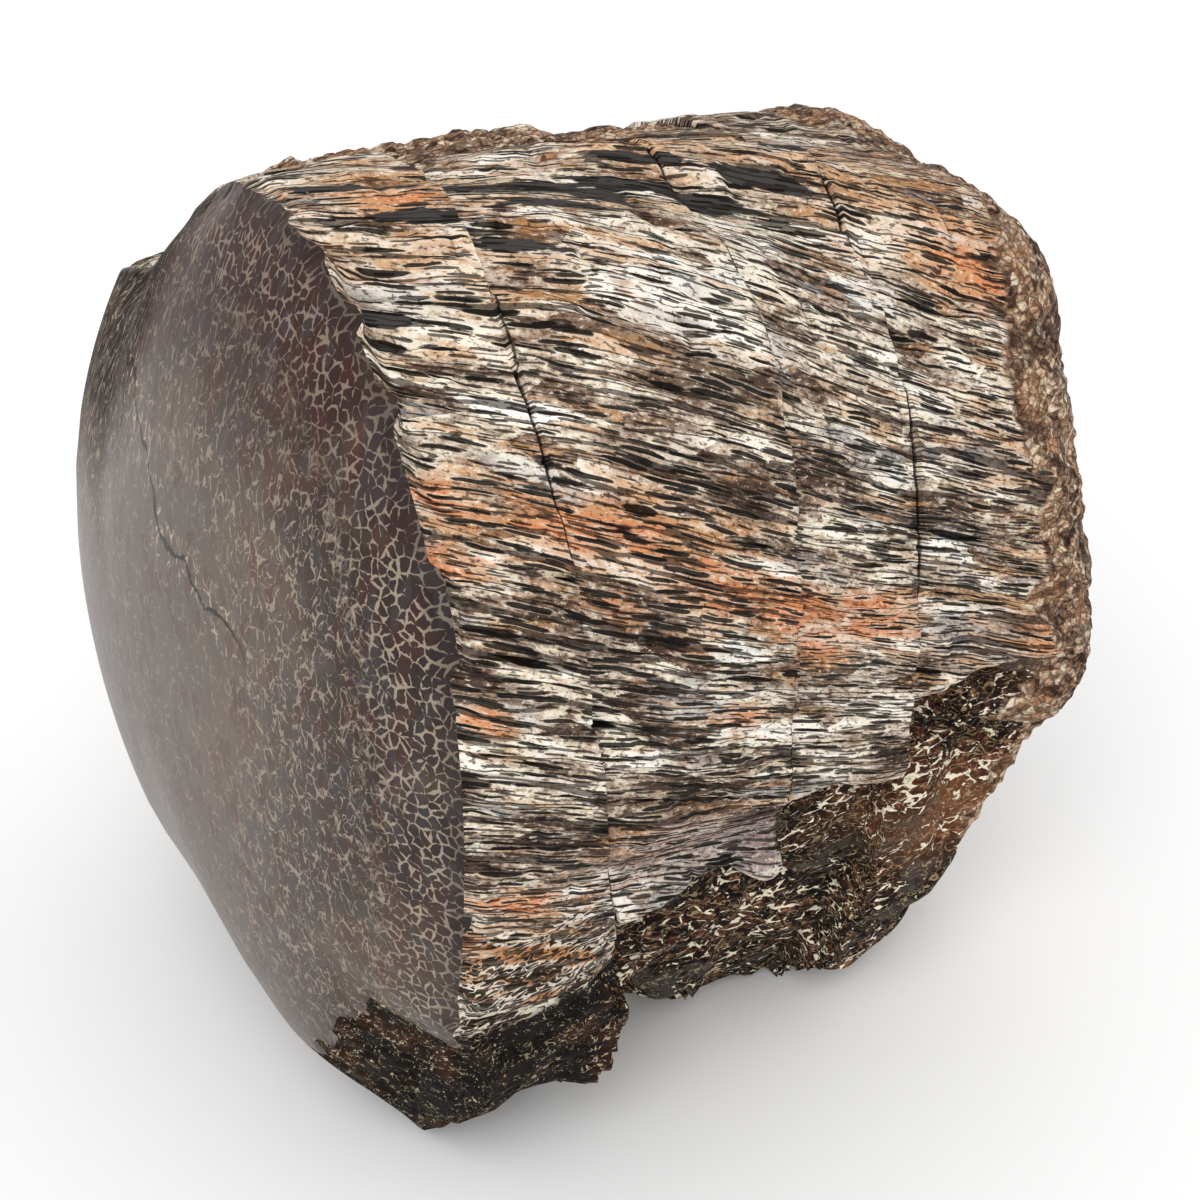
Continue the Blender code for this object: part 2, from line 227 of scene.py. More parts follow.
LENS_SPOTS = ((15.4, 72.5, 1.6), (23, 68.8, 1.7), (28.3, 67.5, 1.4), (33, 63.8, 1.6),
              (14.7, 61.3, 1.3), (39.2, 64.5, 1.5), (6, 73, 1.4), (9.5, 66, 1.2), (20, 64, 1.2),
              (3, 58, 1.0), (44, 67, 1.1), (24, 65.2, 1.2), (30, 70.5, 1.2), (17.5, 69, 1.2))
WARM_SPOTS = ((6, 66, 7), (14, 71, 6), (30, 77, 8), (48, 70, 8), (60, 50, 8), (62, 25, 6),
              (60, 5, 6), (17, 36, 3.5), (44, 64, 5), (10, 35, 3), (4, -12, 5), (20, -6, 4),
              (55, -30, 5), (15, 165, 8), (50, 150, 9), (30, 200, 8), (50, 240, 9), (15, 230, 7))
LILAC_SPOTS = ((22, -9, 4.5), (28, -12, 4.5), (26, 175, 7))
SPOT_STRETCH = 2.0                  # spots are this much longer along the fibres
LENS_STRETCH = 5.0

# The camera stands as for a catalogue picture of the polished end and the near side
CAMERA_TURN, CAMERA_TILT = math.radians(-30), math.radians(32)
CAMERA_AIM = Vector((0.0, -7.43, 41.07)) * MM
CAMERA_DISTANCE = 220.3 * MM
CAMERA_LENS, CAMERA_SENSOR = 72.0, 36.0
KEY_PLACE = Vector((-0.45, -0.55, 0.75))
KEY_SIZE = 0.6
PAPER_DROP = 0.1 * MM               # the paper lies this far under the bone


def ease(low, high, value):
    """0 at low, 1 at high, and a smooth curve between them: 3 s^2 - 2 s^3 of the share s."""
    share = np.clip((value - low) / (high - low), 0.0, 1.0)
    return share * share * (3.0 - 2.0 * share)


def wrap(angle):
    """The same angle between -180 and 180 degrees, in radians."""
    return (angle + np.pi) % (2.0 * np.pi) - np.pi


def within(span, angle):
    """1 in the middle of a span of angles, 0 outside it."""
    degrees = np.degrees(wrap(angle))
    return ease(span[0], span[1], degrees) * ease(span[3], span[2], degrees)


def closed_curve(values, angle):
    """A smooth closed curve through evenly spaced values, read at an angle: the cubic through
    each pair of values whose slopes are half the difference of their neighbours."""
    place = angle / (2.0 * np.pi) * len(values)
    step = np.floor(place).astype(int)
    share = place - step
    before, here, after, beyond = (values[(step + k) % len(values)] for k in (-1, 0, 1, 2))
    bend = 2.0 * before - 5.0 * here + 4.0 * after - beyond
    twist = 3.0 * (here - after) + beyond - before
    return here + 0.5 * share * (after - before + share * (bend + share * twist))


def scatter(cell, salt=0):
    """A fixed number between -1 and 1 for each whole-numbered cell, mixed by large primes."""
    mixed = cell[..., 0] * 73856093 ^ cell[..., 1] * 19349663 ^ cell[..., 2] * 83492791
    mixed = mixed ^ (salt * 2654435)
    mixed = (mixed ^ (mixed >> 13)) * 60493
    return (mixed & 0xFFFF) / 32767.5 - 1.0


def noise(points, size, salt=0):
    """A smooth random height between -1 and 1: numbers scattered on a lattice of the given
    spacing, with the eight round each point blended by its eased shares."""
    place = points / size
    cell = np.floor(place).astype(np.int64)
    share = ease(0.0, 1.0, place - cell)
    height = 0.0
    for corner in itertools.product((0, 1), repeat=3):
        corner = np.array(corner)
        weight = np.prod(np.where(corner == 1, share, 1.0 - share), axis=-1)
        height = height + weight * scatter(cell + corner, salt)
    return height


def rough(points, *noises):
    """The sum of noises, each a height, a spacing in millimetres and a salt."""
    return sum(height * noise(points, np.array(size) * MM, salt)
               for height, size, salt in noises)


def neighbours(points, size, salt):
    """The marks scattered one to a cell, in the cells round each point: the way to each mark
    in cells, and a fixed number for the mark."""
    place = points / size
    cell = np.floor(place).astype(np.int64)
    for step in itertools.product((-1, 0, 1), repeat=3):
        other = cell + np.array(step)
        jitter = np.stack([scatter(other, salt + k) for k in (1, 2, 3)], axis=-1)
        yield place - (other + 0.5 + MARK_STRAY * jitter), scatter(other, salt + 4)


def lens_marks(points, length, width, salt):
    """How far inside a lens-shaped mark a point is: the largest of s - (2 x)^2 - 2.2 r over
    the marks near it, with x along the fibres and r across them in cells, and s the mark's
    own size from 0 to 1. Above 0 is inside."""
    best = np.full(points.shape[:-1], -FAR_OFF)
    for way, number in neighbours(points, np.array([length, width, width]), salt):
        across = np.hypot(way[..., 1], way[..., 2])
        size = 0.5 + 0.5 * number
        best = np.maximum(best, size - 4.0 * way[..., 0] ** 2 - 2.2 * across)
    return best


def open_cells(points, size, salt):
    """Distance to the wall between the two nearest marks, in cells: half of the difference of
    the distances to them. 0 on the walls of the net."""
    first = np.full(points.shape[:-1], FAR_OFF)
    second = first.copy()
    for way, _ in neighbours(points, size, salt):
        distance = np.linalg.norm(way, axis=-1)
        second = np.minimum(second, np.maximum(first, distance))
        first = np.minimum(first, distance)
    return 0.5 * (second - first)


def hollowed(points, depth, start, full, size, salt):
    """The hollow of open cells: the depth in millimetres times the eased share of the way from
    the start to the full distance, with the distance measured from the nearest wall."""
    return depth * MM * ease(start, full, open_cells(points, np.array(size) * MM, salt))


def layer_borders(angle):
    """Where each layer starts and ends along the shaft, at an angle: five borders."""
    foot = SLAB_FOOT * within(SLAB_FOOT_SPAN, angle)
    neck = SLAB_NECK * within(SLAB_NECK_SPAN, angle)
    return (RIM_SETBACK * (1.0 - within(RIM_FORWARD_SPAN, angle)),
            LAYER_ENDS[0] + foot - neck,
            LAYER_ENDS[1] + 0.0 * angle,
            LAYER_ENDS[2] + 0.0 * angle,
            SHAFT_LENGTH - ROUNDING_START + 0.0 * angle)


def layer_number(along, angle):
    """Which layer a place is in, counted from 0 at the polished end."""
    return sum((along > border).astype(int) for border in layer_borders(angle)[1:4])


def fibre_angle(along, angle, turn, span=COLUMN_TURN_SPAN):
    """An angle that stays the same along a fibre: the angle plus the turn times the distance
    along the shaft, less of it on the underside."""
    share = FIBRE_TURN_LOW + (1.0 - FIBRE_TURN_LOW) * within(span, angle)
    return angle + turn * share * along


def on_cylinder(along, angle):
    """Points of the even cylinder, where noise closes round the shaft."""
    across = EVEN_RADIUS * np.cos(angle)
    up = EVEN_RADIUS * np.sin(angle)
    return np.stack([along + 0.0 * angle, across, up], axis=-1)


def ledge_wander(along, angle):
    """How far the ledges wander along the shaft below the bark, where they are worn ragged."""
    below = ease(WANDER_FROM, WANDER_TO, wrap(angle))
    return WANDER * below * noise(on_cylinder(along, angle), WANDER_SIZE, 221)


def sponge(along, angle):
    """Spongy bone under the bark's edge: its share, 0 or 1, and how deep it lies."""
    layer = layer_number(along + ledge_wander(along, angle), angle)
    stray = BARK_EDGE_STRAY * noise(on_cylinder(along, angle), BARK_EDGE_PERIOD)
    under = ease(0.0, BARK_EDGE_TURN, BARK_EDGES[layer] + stray - wrap(angle))
    depth = SPONGE_DEPTHS[layer] * ease(0.0, SPONGE_TURN, wrap(angle) - SPONGE_FADES[layer])
    depth = depth * ease(SHAFT_LENGTH, SHAFT_LENGTH - SPONGE_RUN_OUT, along)
    return under * within(SPONGE_SPAN, angle), under * depth


def relief(along, angle, turn):
    """Lumps, ridges along the fibres and low plates between the cracks, as one height."""
    straight = on_cylinder(along, angle)
    wound = on_cylinder(along / FIBRE_STRETCH,
                        fibre_angle(along, angle, turn, FIBRE_TURN_SPAN))
    stepped = wound + LAYER_SHIFT * layer_number(along, angle)[..., None]
    lump = noise(straight, LUMP_SIZE)
    ridge = noise(wound, RIDGE_WIDTH)
    plate = np.tanh(PLATE_STEEPNESS * noise(stepped, PLATE_WIDTH))
    knob = noise(straight, KNOB_SIZE)
    porous = sponge(along, angle)[0]
    bark = LUMP * lump + RIDGE * ridge + PLATE * plate
    return bark * (1.0 - porous + BARK_IN_SPONGE * porous) + KNOB * knob * porous


def pits(along, angle, radius):
    """The sum of the round pits: each is its depth times exp(-2 d^2 / r^2)."""
    depth = np.zeros_like(angle)
    for place, degrees, size, deepest in PITS:
        across = wrap(angle - np.radians(degrees)) * radius
        apart = (along - place) ** 2 + across ** 2
        depth = depth + deepest * np.exp(-2.0 * apart / size ** 2)
    return depth


def outline_radius(along, angle):
    """Radius of the plain form: the rim's outline, then the middle's, then the tail's."""
    middle = ease(0.0, MIDDLE_AT, along)
    tail = np.clip((along - MIDDLE_AT) / (SHAFT_LENGTH - MIDDLE_AT), 0.0, 1.0)
    radius = closed_curve(RIM_OUTLINE, angle) * (1.0 - middle)
    radius = radius + closed_curve(MIDDLE_OUTLINE, angle) * middle
    return radius * (1.0 - tail) + closed_curve(TAIL_OUTLINE, angle) * tail


def shaft_radius(along, angle, turn):
    """Radius of the solid's raw surface at a place along the shaft."""
    radius = outline_radius(along, angle)
    borders = layer_borders(angle)
    worn = along + ledge_wander(along, angle)
    for border, drop in zip(borders[1:4], LAYER_DROPS):
        radius = radius - drop * ease(-0.5 * LEDGE_WIDTH, 0.5 * LEDGE_WIDTH, worn - border)
    radius = radius - sponge(along, angle)[1]
    raw = ease(0.0, RELIEF_START, along - borders[0])
    radius = radius + raw * relief(along, angle, turn) - pits(along, angle, radius)
    past = (along - SHAFT_LENGTH + ROUNDING_START) / (ROUNDING_START + ROUNDING_RUN)
    shrink = 1.0 - ROUNDING_DRAW_IN * np.clip(past, 0.0, 1.0) ** ROUNDING_POWER
    corner = ease(SHAFT_LENGTH - LOW_CORNER_LENGTH, SHAFT_LENGTH, along)
    return radius * shrink - LOW_CORNER_CUT * corner * within(LOW_CORNER_SPAN, angle)


def place_point(along, angle, radius):
    """Points in space, with nothing below the ground."""
    across = CENTRE_Y - radius * np.cos(angle)
    up = CENTRE_Z + radius * np.sin(angle)
    return np.stack([along + 0.0 * angle, across, np.maximum(up, 0.0)], axis=-1)


def wound_angle(along, column, turn):
    """The angle of a column at a distance along the shaft: its first angle less the turn times
    the distance, so that it follows the fibres on the near side, and less of that elsewhere."""
    return column - turn * within(COLUMN_TURN_SPAN, column) * along


def column_borders(column, turn):
    """Where each column meets the five borders, found by going there and looking again."""
    borders = layer_borders(column)
    for _ in range(BORDER_LOOKS):
        borders = [layer_borders(wound_angle(border, column, turn))[number]
                   for number, border in enumerate(borders)]
    return borders


def shaft_stations(borders):
    """How far along the shaft each row lies on each column: evenly spaced inside each layer,
    close together at each ledge with one row on it, then evenly over the rounding."""
    stations = [borders[0]]
    for layer, rows in enumerate(LAYER_ROWS):
        first = borders[layer] + 0.5 * ROW_GAP
        last = borders[layer + 1] - 0.5 * ROW_GAP
        stations += [first + (last - first) * share for share in np.linspace(0.0, 1.0, rows)]
        stations.append(borders[layer + 1])
    for step in range(1, ROUNDING_ROWS + 1):
        past = (ROUNDING_START + ROUNDING_RUN) * step / ROUNDING_ROWS
        stations.append(borders[4] + past)
    return np.array(stations)


def plates(along, fibre, length, width, salt):
    """Long plates between cracks: bands of even width round the shaft that wander a little,
    each cut across into pieces of its own length. Gives a fixed number for each plate, and
    the distances to its long edge and to its cross break."""
    bands = int(round(2.0 * np.pi * EVEN_RADIUS / width))
    spread = on_cylinder(along / FIBRE_STRETCH, fibre)
    wander = sum(share * noise(spread, widths * width, salt + k)
                 for k, (share, widths) in enumerate(BAND_WANDERS))
    place = fibre / (2.0 * np.pi) * bands + wander
    band = np.floor(place).astype(np.int64)
    long_edge = np.minimum(place - band, band + 1.0 - place) * width
    band = band % bands
    key = np.stack([band, 0 * band, 0 * band], axis=-1)
    piece = length * (1.0 + PIECE_SPREAD * scatter(key, salt + 2))
    run = along / piece + PIECE_SHIFT * scatter(key, salt + 3)
    number = np.floor(run).astype(np.int64)
    cross_break = np.minimum(run - number, number + 1.0 - run) * piece
    key = np.stack([band, number, 0 * band], axis=-1)
    return scatter(key, salt + 4), long_edge, cross_break


def spots(along, fibre, places, turn, stretch):
    """The largest over the places of exp(-d^2 / size^2), with d measured across the fibres
    and, shortened by the stretch, along them."""
    best = np.zeros_like(along)
    for place, degrees, size in places:
        own = fibre_angle(place * MM, np.radians(float(degrees)), turn)
        across = wrap(fibre - own) * EVEN_RADIUS
        apart = ((along - place * MM) / stretch) ** 2 + across ** 2
        best = np.maximum(best, np.exp(-apart / (size * MM) ** 2))
    return best


def end_share(along, angle, straight):
    """How far the surface is the granular crust of the broken end and of the crest."""
    stray = MM * rough(straight, *CRUST_STRAYS)
    tail = ease(SHAFT_LENGTH - CRUST_START, SHAFT_LENGTH - CRUST_FULL, along + stray)
    crest = within(CREST_SPAN, angle + rough(straight, CREST_STRAY)) * ease(*CREST_START, along)
    crest = crest * ease(*CREST_LIMITS, rough(straight, CREST_PATCHES))
    return np.maximum(tail, crest)


def fine_relief(along, angle, turn):
    """What the surface adds to the solid's form, and the fields that its colours follow.

    The height is splinters and plates of random level, cut by grooves along their edges and
    by lens-shaped slits, on the bark; pores and knobs on spongy bone; and grains on the
    broken end and on the crest. All of it is read along the winding fibres."""
    fibre = fibre_angle(along, angle, turn)
    layer = layer_number(along, angle)
    wound = on_cylinder(along, fibre) + LAYER_SHIFT * layer[..., None]
    straight = on_cylinder(along, angle)
    bent = wound.copy()
    bent[..., 1:] += MM * rough(wound, FIBRE_SWAY)[..., None]

    tone, long_edge, cross_break = plates(along, fibre + PLATE_SHIFT * layer, *WIDE_PLATES)
    thin_tone, thin_edge, _ = plates(along, fibre, *THIN_PLATES)
    crack_width = SEAM_WIDTH * ease(*SEAM_LIMITS, rough(bent, SEAM_PATCHES))
    seam = np.maximum(1.0 - long_edge / (crack_width + SEAM_LEAST),
                      1.0 - cross_break / BREAK_WIDTH)
    thin_seam = 1.0 - thin_edge / (THIN_SEAM_WIDTH * crack_width + THIN_SEAM_LEAST)
    slit = lens_marks(bent, *SLITS)
    small_slit = lens_marks(bent, *SMALL_SLITS)

    porous, _ = sponge(along, angle)
    grain = end_share(along, angle, straight)
    bark = (1.0 - porous) * (1.0 - grain)
    height = WIDE_STEP * tone + THIN_STEP * thin_tone + MM * rough(bent, SPLINTERS)
    height = height - SEAM_DEPTH * np.clip(seam, 0.0, 1.0)
    height = height - SLIT_DEPTH * ease(*SLIT_WALL, slit)
    height = height - SMALL_SLIT_DEPTH * ease(*SMALL_SLIT_WALL, small_slit)
    pores = MM * rough(straight, SPONGE_KNOBS) - hollowed(straight, *SPONGE_PORES)
    grains = MM * rough(straight, CRUST_KNOBS) - hollowed(straight, *CRUST_GAPS)
    height = height * bark + pores * porous * (1.0 - grain) + grains * grain
    fields = {
        "tone": WIDE_TONE * tone + THIN_TONE * thin_tone,
        "seam": np.maximum(seam, THIN_SEAM_TONE * thin_seam) * bark,
        "slit": slit + FIELDS["slit"] * (1.0 - bark),
        "sponge": porous * (layer > 0),
        "fleck": porous * (layer == 0),
        "foot": within(SLAB_CURL_SPAN, angle) * (layer == 0),
        "grain": grain,
    }
    return height, fields


def column_angles(columns):
    """The angle of each column, from the underside round: t - k sin(t - a) for even steps of t,
    which draws them together near the angle a."""
    even = np.linspace(-0.5 * np.pi, 1.5 * np.pi, columns, endpoint=False)
    return even - COLUMN_LEAN * np.sin(even - COLUMN_LEAN_TO)


def rim_chips(angle):
    """How deep the small chips along the rim are at an angle: two sizes of noise, cut off at
    nothing and at the full depth."""
    ring = on_cylinder(0.0, angle)
    return RIM_CHIP_DEPTH * ease(0.0, RIM_CHIP_FULL, rough(ring, *RIM_CHIPS))


def polished_rows(column, sizes):
    """The polished end: each row is a share s of the way from the middle to the rim, bulging
    by the rise times 1 - s^p. A corner is broken off low on the rim, where cells lie open, and
    the upper rim is crumbled and slotted."""
    turn = sizes.fibre_turn
    start = column_borders(column, turn)[0]
    angle = wound_angle(start, column, turn)
    rim = place_point(start, angle, shaft_radius(start, angle, turn))
    middle = np.array([0.0, CENTRE_Y, CENTRE_Z])
    inner = np.linspace(0.0, DOME_SPLIT, DOME_ROWS[0], endpoint=False)[1:]
    share = np.concatenate([inner, np.linspace(DOME_SPLIT, 1.0, DOME_ROWS[1] + 1)])[:, None]
    points = middle + (rim - middle) * share[..., None]
    points[..., 0] = start * share ** 2 - sizes.dome_rise * (1.0 - share ** DOME_POWER)
    chip = within(CHIP_SPAN, angle) * ease(CHIP_INNER, 1.0, share)
    chipped = ease(*CHIP_MARK, share + rough(points, CHIP_STRAY)) * within(CHIP_SPAN, angle)
    crumble = within(CRUMBLE_SPAN, angle) * ease(CRUMBLE_INNER, 1.0, share)
    cells = hollowed(points, *CHIP_CELLS)
    points[..., 0] += CHIP_DEPTH * chip + CRUMBLE_DEPTH * crumble + cells * chipped
    points[..., 0] += rim_chips(angle) * ease(RIM_CHIP_INNER, 1.0, share)
    slots = ease(*RIM_SLOT_WALL, lens_marks(points[..., [2, 1, 0]], *RIM_SLOTS))
    points[..., 0] += RIM_SLOT_DEPTH * slots * ease(*RIM_SLOT_FADE, crumble)
    radius = np.linalg.norm(rim - middle, axis=-1)
    fields = {
        "rim": (1.0 - share) * radius / MM,
        "fleck": chipped,
        "crumble": within(CRUMBLE_MARK_SPAN, angle) * ease(*CRUMBLE_FADE, share),
    }
    return points, fields


def shaft_rows(column, sizes):
    """The shaft: a point of each row lies at its distance along the shaft, at the radius of
    the solid's form plus the fine relief."""
    turn = sizes.fibre_turn
    borders = column_borders(column, turn)
    along = shaft_stations(borders)
    angle = wound_angle(along, column, turn)
    height, fields = fine_relief(along, angle, turn)
    raw = ease(0.0, FINE_START, along - borders[0])
    radius = shaft_radius(along, angle, turn) + raw * height * sizes.relief
    chip = CHIP_DEPTH * within(CHIP_SPAN, angle) + CRUMBLE_DEPTH * within(CRUMBLE_SPAN, angle)
    shifted = along + chip * ease(CHIP_REACH, 0.0, along - borders[0])
    shifted = shifted + rim_chips(angle) * ease(RIM_CHIP_REACH, 0.0, along - borders[0])
    points = place_point(shifted, angle, radius)
    fibre = fibre_angle(along, angle, turn)
    places = {"rust": RUST_SPOTS, "pale": PALE_SPOTS, "dark": DARK_SPOTS, "warm": WARM_SPOTS,
              "lilac": LILAC_SPOTS}
    for name, spot_list in places.items():
        fields[name] = spots(along, fibre, spot_list, turn, SPOT_STRETCH)
    fields["lens"] = spots(along, fibre, LENS_SPOTS, turn, LENS_STRETCH)
    on_ledge = [np.abs(along - border) < 0.1 * ROW_GAP for border in borders[1:4]]
    fields["ledge"] = np.any(on_ledge, axis=0).astype(float)
    return points, fields, np.stack([along, EVEN_RADIUS * fibre], axis=-1) / MM


def broken_rows(column, sizes):
    """The broken end: rows from the edge to the middle, raised by terraces and grains, which
    fade out towards the edge, and pierced by holes where the marrow is open."""
    turn = sizes.fibre_turn
    last = SHAFT_LENGTH + ROUNDING_RUN
    angle = wound_angle(last, column, turn)
    edge = place_point(last, angle, shaft_radius(last + 0.0 * angle, angle, turn))
    middle = np.array([last, CENTRE_Y, CENTRE_Z])
    share = (np.arange(END_ROWS, 0, -1) / (END_ROWS + 1))[:, None]
    points = middle + (edge - middle) * share[..., None]
    terrace = np.tanh(TERRACE_STEEPNESS * noise(points, END_TERRACE_SIZE))
    form = END_TERRACE * terrace + END_KNOB * noise(points, END_KNOB_SIZE)
    marrow = np.maximum(ease(*MARROW_EDGE, share + rough(points, *MARROW_STRAYS)),
                        ease(*MARROW_LIMITS, rough(points, MARROW_PATCHES)))
    grains = MM * rough(points, *END_GRAINS) - hollowed(points, *END_GAPS)
    grains = grains - hollowed(points, *MARROW_HOLES) * marrow
    points[..., 0] += (1.0 - share ** 4) * (END_RISE * (1.0 - share ** 2) + form)
    points[..., 0] += (1.0 - share ** 8) * sizes.relief * grains
    return points, {"grain": 1.0 - marrow, "sponge": np.ones_like(marrow)}


# Fields of the surface, with the value that each has where a part doesn't give it
FIELDS = {"tone": 0.0, "seam": -1.0, "slit": -2.0, "sponge": 0.0, "fleck": 0.0, "grain": 0.0,
          "rim": -60.0, "rust": 0.0, "pale": 0.0, "dark": 0.0, "warm": 0.0, "lens": 0.0,
          "ledge": 0.0, "lilac": 0.0, "foot": 0.0, "crumble": 0.0}


def bone_surface(sizes):
    """All rows of the closed surface, their fields, and their places in millimetres along and
    across the unwound fibres: the polished end, the shaft, and the broken end."""
    column = column_angles(sizes.columns)
    polished, polished_fields = polished_rows(column, sizes)
    shaft, shaft_fields, flow = shaft_rows(column, sizes)
    broken, broken_fields = broken_rows(column, sizes)
    rows = np.concatenate([polished[:-1], shaft, broken])
    flows = np.concatenate([np.repeat(flow[:1], len(polished) - 1, axis=0), flow,
                            np.repeat(flow[-1:], len(broken), axis=0)])
    parts = ((polished[:-1], polished_fields), (shaft, shaft_fields), (broken, broken_fields))
    fields = {}
    for name, outside in FIELDS.items():
        blocks = []
        for points, own in parts:
            whole = np.full(points.shape[:-1], outside)
            if name in own:
                whole[:] = np.broadcast_to(own[name][:len(points)], whole.shape)
            blocks.append(whole)
        fields[name] = np.concatenate(blocks)
    return rows, flows, fields, len(polished) - 1


def corner_flows(flows):
    """The flow at each corner of the faces. Past the last column, where the first follows, the
    place across the fibres goes on by the whole way round, 2 pi R."""
    round_about = np.array([0.0, 2.0 * np.pi * EVEN_RADIUS / MM])
    beside = np.concatenate([flows[:, 1:], flows[:, :1] + round_about], axis=1)
    quads = np.stack([flows[:-1], flows[1:], beside[1:], beside[:-1]], axis=2)
    first_fan = np.stack([flows[0], flows[0], beside[0]], axis=1)
    last_fan = np.stack([flows[-1], beside[-1], flows[-1]], axis=1)
    return np.concatenate([part.reshape(-1, 2) for part in (quads, first_fan, last_fan)])


def bone_mesh(name, sizes):
    """Puts the surface into a mesh: the rows' points and one point for each end, quads between
    the rows, a fan of triangles at each end, and each field as an attribute."""
    rows, flows, fields, polished_count = bone_surface(sizes)
    low, high = (np.array(corner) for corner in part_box(BONE))
    count, columns = rows.shape[:2]
    ends = np.array([[-sizes.dome_rise, CENTRE_Y, CENTRE_Z], rows[-1].mean(axis=0)])
    points = np.concatenate([rows.reshape(-1, 3), ends])
    points[:, :2] -= BOX_MIDDLE
    points = np.clip(points, low, high)

    index = np.arange(count * columns).reshape(count, columns)
    here, after = index[:-1], index[1:]
    quads = np.stack([here, after, np.roll(after, -1, 1), np.roll(here, -1, 1)], axis=-1)
    first, last = index[0], index[-1]
    first_fan = np.stack([0 * first + count * columns, first, np.roll(first, -1)], axis=-1)
    last_fan = np.stack([0 * last + count * columns + 1, np.roll(last, -1), last], axis=-1)
    corners = np.concatenate([quads.reshape(-1), first_fan.reshape(-1), last_fan.reshape(-1)])
    sides = np.concatenate([np.full((count - 1) * columns, 4), np.full(2 * columns, 3)])
    material = np.ones((count - 1, columns), np.int32)
    material[:polished_count] = fields["fleck"][:polished_count] > 0.5
    material = np.concatenate([material.reshape(-1), np.repeat([0, 1], columns)])

    mesh = bpy.data.meshes.new(name)
    mesh.vertices.add(len(points))
    mesh.vertices.foreach_set("co", points.reshape(-1).astype(np.float32))
    mesh.loops.add(len(corners))
    mesh.loops.foreach_set("vertex_index", corners.astype(np.int32))
    mesh.polygons.add(len(sides))
    mesh.polygons.foreach_set("loop_start", (np.cumsum(sides) - sides).astype(np.int32))
    mesh.polygons.foreach_set("material_index", material.astype(np.int32))
    mesh.polygons.foreach_set("use_smooth", np.ones(len(sides), bool))
    mesh.update(calc_edges=True)
    for field, values in fields.items():
        values = np.concatenate([values.reshape(-1), [values[0].mean(), values[-1].mean()]])
        store = mesh.attributes.new(field, "FLOAT", "POINT")
        store.data.foreach_set("value", values.astype(np.float32))
    store = mesh.attributes.new("flow", "FLOAT_VECTOR", "CORNER")
    flows = np.pad(corner_flows(flows), ((0, 0), (0, 1)))
    store.data.foreach_set("vector", flows.reshape(-1).astype(np.float32))
    mesh.set_sharp_from_angle(angle=SHARP_EDGE)
    return mesh


def linear(hex_colour):
    """The linear RGBA of an sRGB hex colour: a share c becomes c / 12.92 up to 0.04045, and
    ((c + 0.055) / 1.055)^2.4 above it."""
    shares = [int(hex_colour[k:k + 2], 16) / 255.0 for k in (1, 3, 5)]
    return [c / 12.92 if c <= 0.04045 else ((c + 0.055) / 1.055) ** 2.4 for c in shares] + [1.0]


def add(tree, kind, inputs=(), stops=(), **settings):
    """Adds a shader node of a kind. Its settings are set, then its inputs, by number or name,
    each to a value or by a link from a socket or from a node's first output, then the stops
    of its colour ramp."""
    node = tree.nodes.new("ShaderNode" + kind)
    for name, value in settings.items():
        setattr(node, name, value)
    pairs = inputs.items() if isinstance(inputs, dict) else enumerate(inputs)
    for key, value in pairs:
        if isinstance(value, bpy.types.Node):
            value = value.outputs[0]
        if isinstance(value, bpy.types.NodeSocket):
            tree.links.new(value, node.inputs[key])
        else:
            node.inputs[key].default_value = value
    if stops:
        elements = node.color_ramp.elements
        elements[0].position, elements[-1].position = stops[0][0], stops[-1][0]
        for place, _ in stops[1:-1]:
            elements.new(place)
        for element, (_, colour) in zip(elements, stops):
            element.color = linear(colour)
    return node


def patterns(tree, coordinates, table):
    """The textures of a table, each on coordinates in millimetres divided by its own size."""
    made = {}
    for name, (kind, size, inputs, settings) in table.items():
        place = add(tree, "VectorMath", (coordinates, size), operation="DIVIDE")
        made[name] = add(tree, kind, {"Vector": place, "Scale": 1.0, **inputs}, **settings)
    return made


def swayed(tree, place, period, reach):
    """Places moved about by smooth noise: by the reach times the noise less a half."""
    spread = add(tree, "VectorMath", (place, period), operation="DIVIDE")
    drift = add(tree, "TexNoise", {"Vector": spread, "Scale": 1.0, "Detail": 3.0})
    drift = add(tree, "VectorMath", (drift.outputs["Color"], (NOISE_MIDDLE,) * 3),
                operation="SUBTRACT")
    return add(tree, "VectorMath", (drift, reach, place), operation="MULTIPLY_ADD")


def contour(tree, field, width):
    """1 along a noise's contour lines, where it is within a width of its middle, 0 elsewhere."""
    return add(tree, "Math", (field, NOISE_MIDDLE, width), operation="COMPARE")


def masks(tree, table):
    """The masks of a table: each is 0 where its value is at the first limit, 1 at the second,
    and smooth between them."""
    return {name: add(tree, "MapRange", limits, interpolation_type="SMOOTHSTEP")
            for name, limits in table.items()}


def summed(tree, terms):
    """The sum of terms, each a value times a weight."""
    total = 0.0
    for value, weight in terms:
        total = add(tree, "Math", (value, weight, total), operation="MULTIPLY_ADD")
    return total


def multiplied(tree, first, *others):
    """The product of values."""
    for other in others:
        first = add(tree, "Math", (first, other), operation="MULTIPLY")
    return first


def painted(tree, colour, coats):
    """A colour with coats over it, each a mask, its strength and the colour it lays down."""
    for mask, strength, coat in coats:
        if strength < 1.0:
            mask = multiplied(tree, mask, strength)
        if isinstance(coat, str):
            coat = linear(coat)
        mixed = add(tree, "Mix", {0: mask, 6: colour, 7: coat}, data_type="RGBA")
        colour = mixed.outputs[2]
    return colour


def new_material(name):
    """An empty material, its node tree and its Principled shader."""
    material = bpy.data.materials.new(name)
    material.use_nodes = True
    return material, material.node_tree, material.node_tree.nodes["Principled BSDF"]


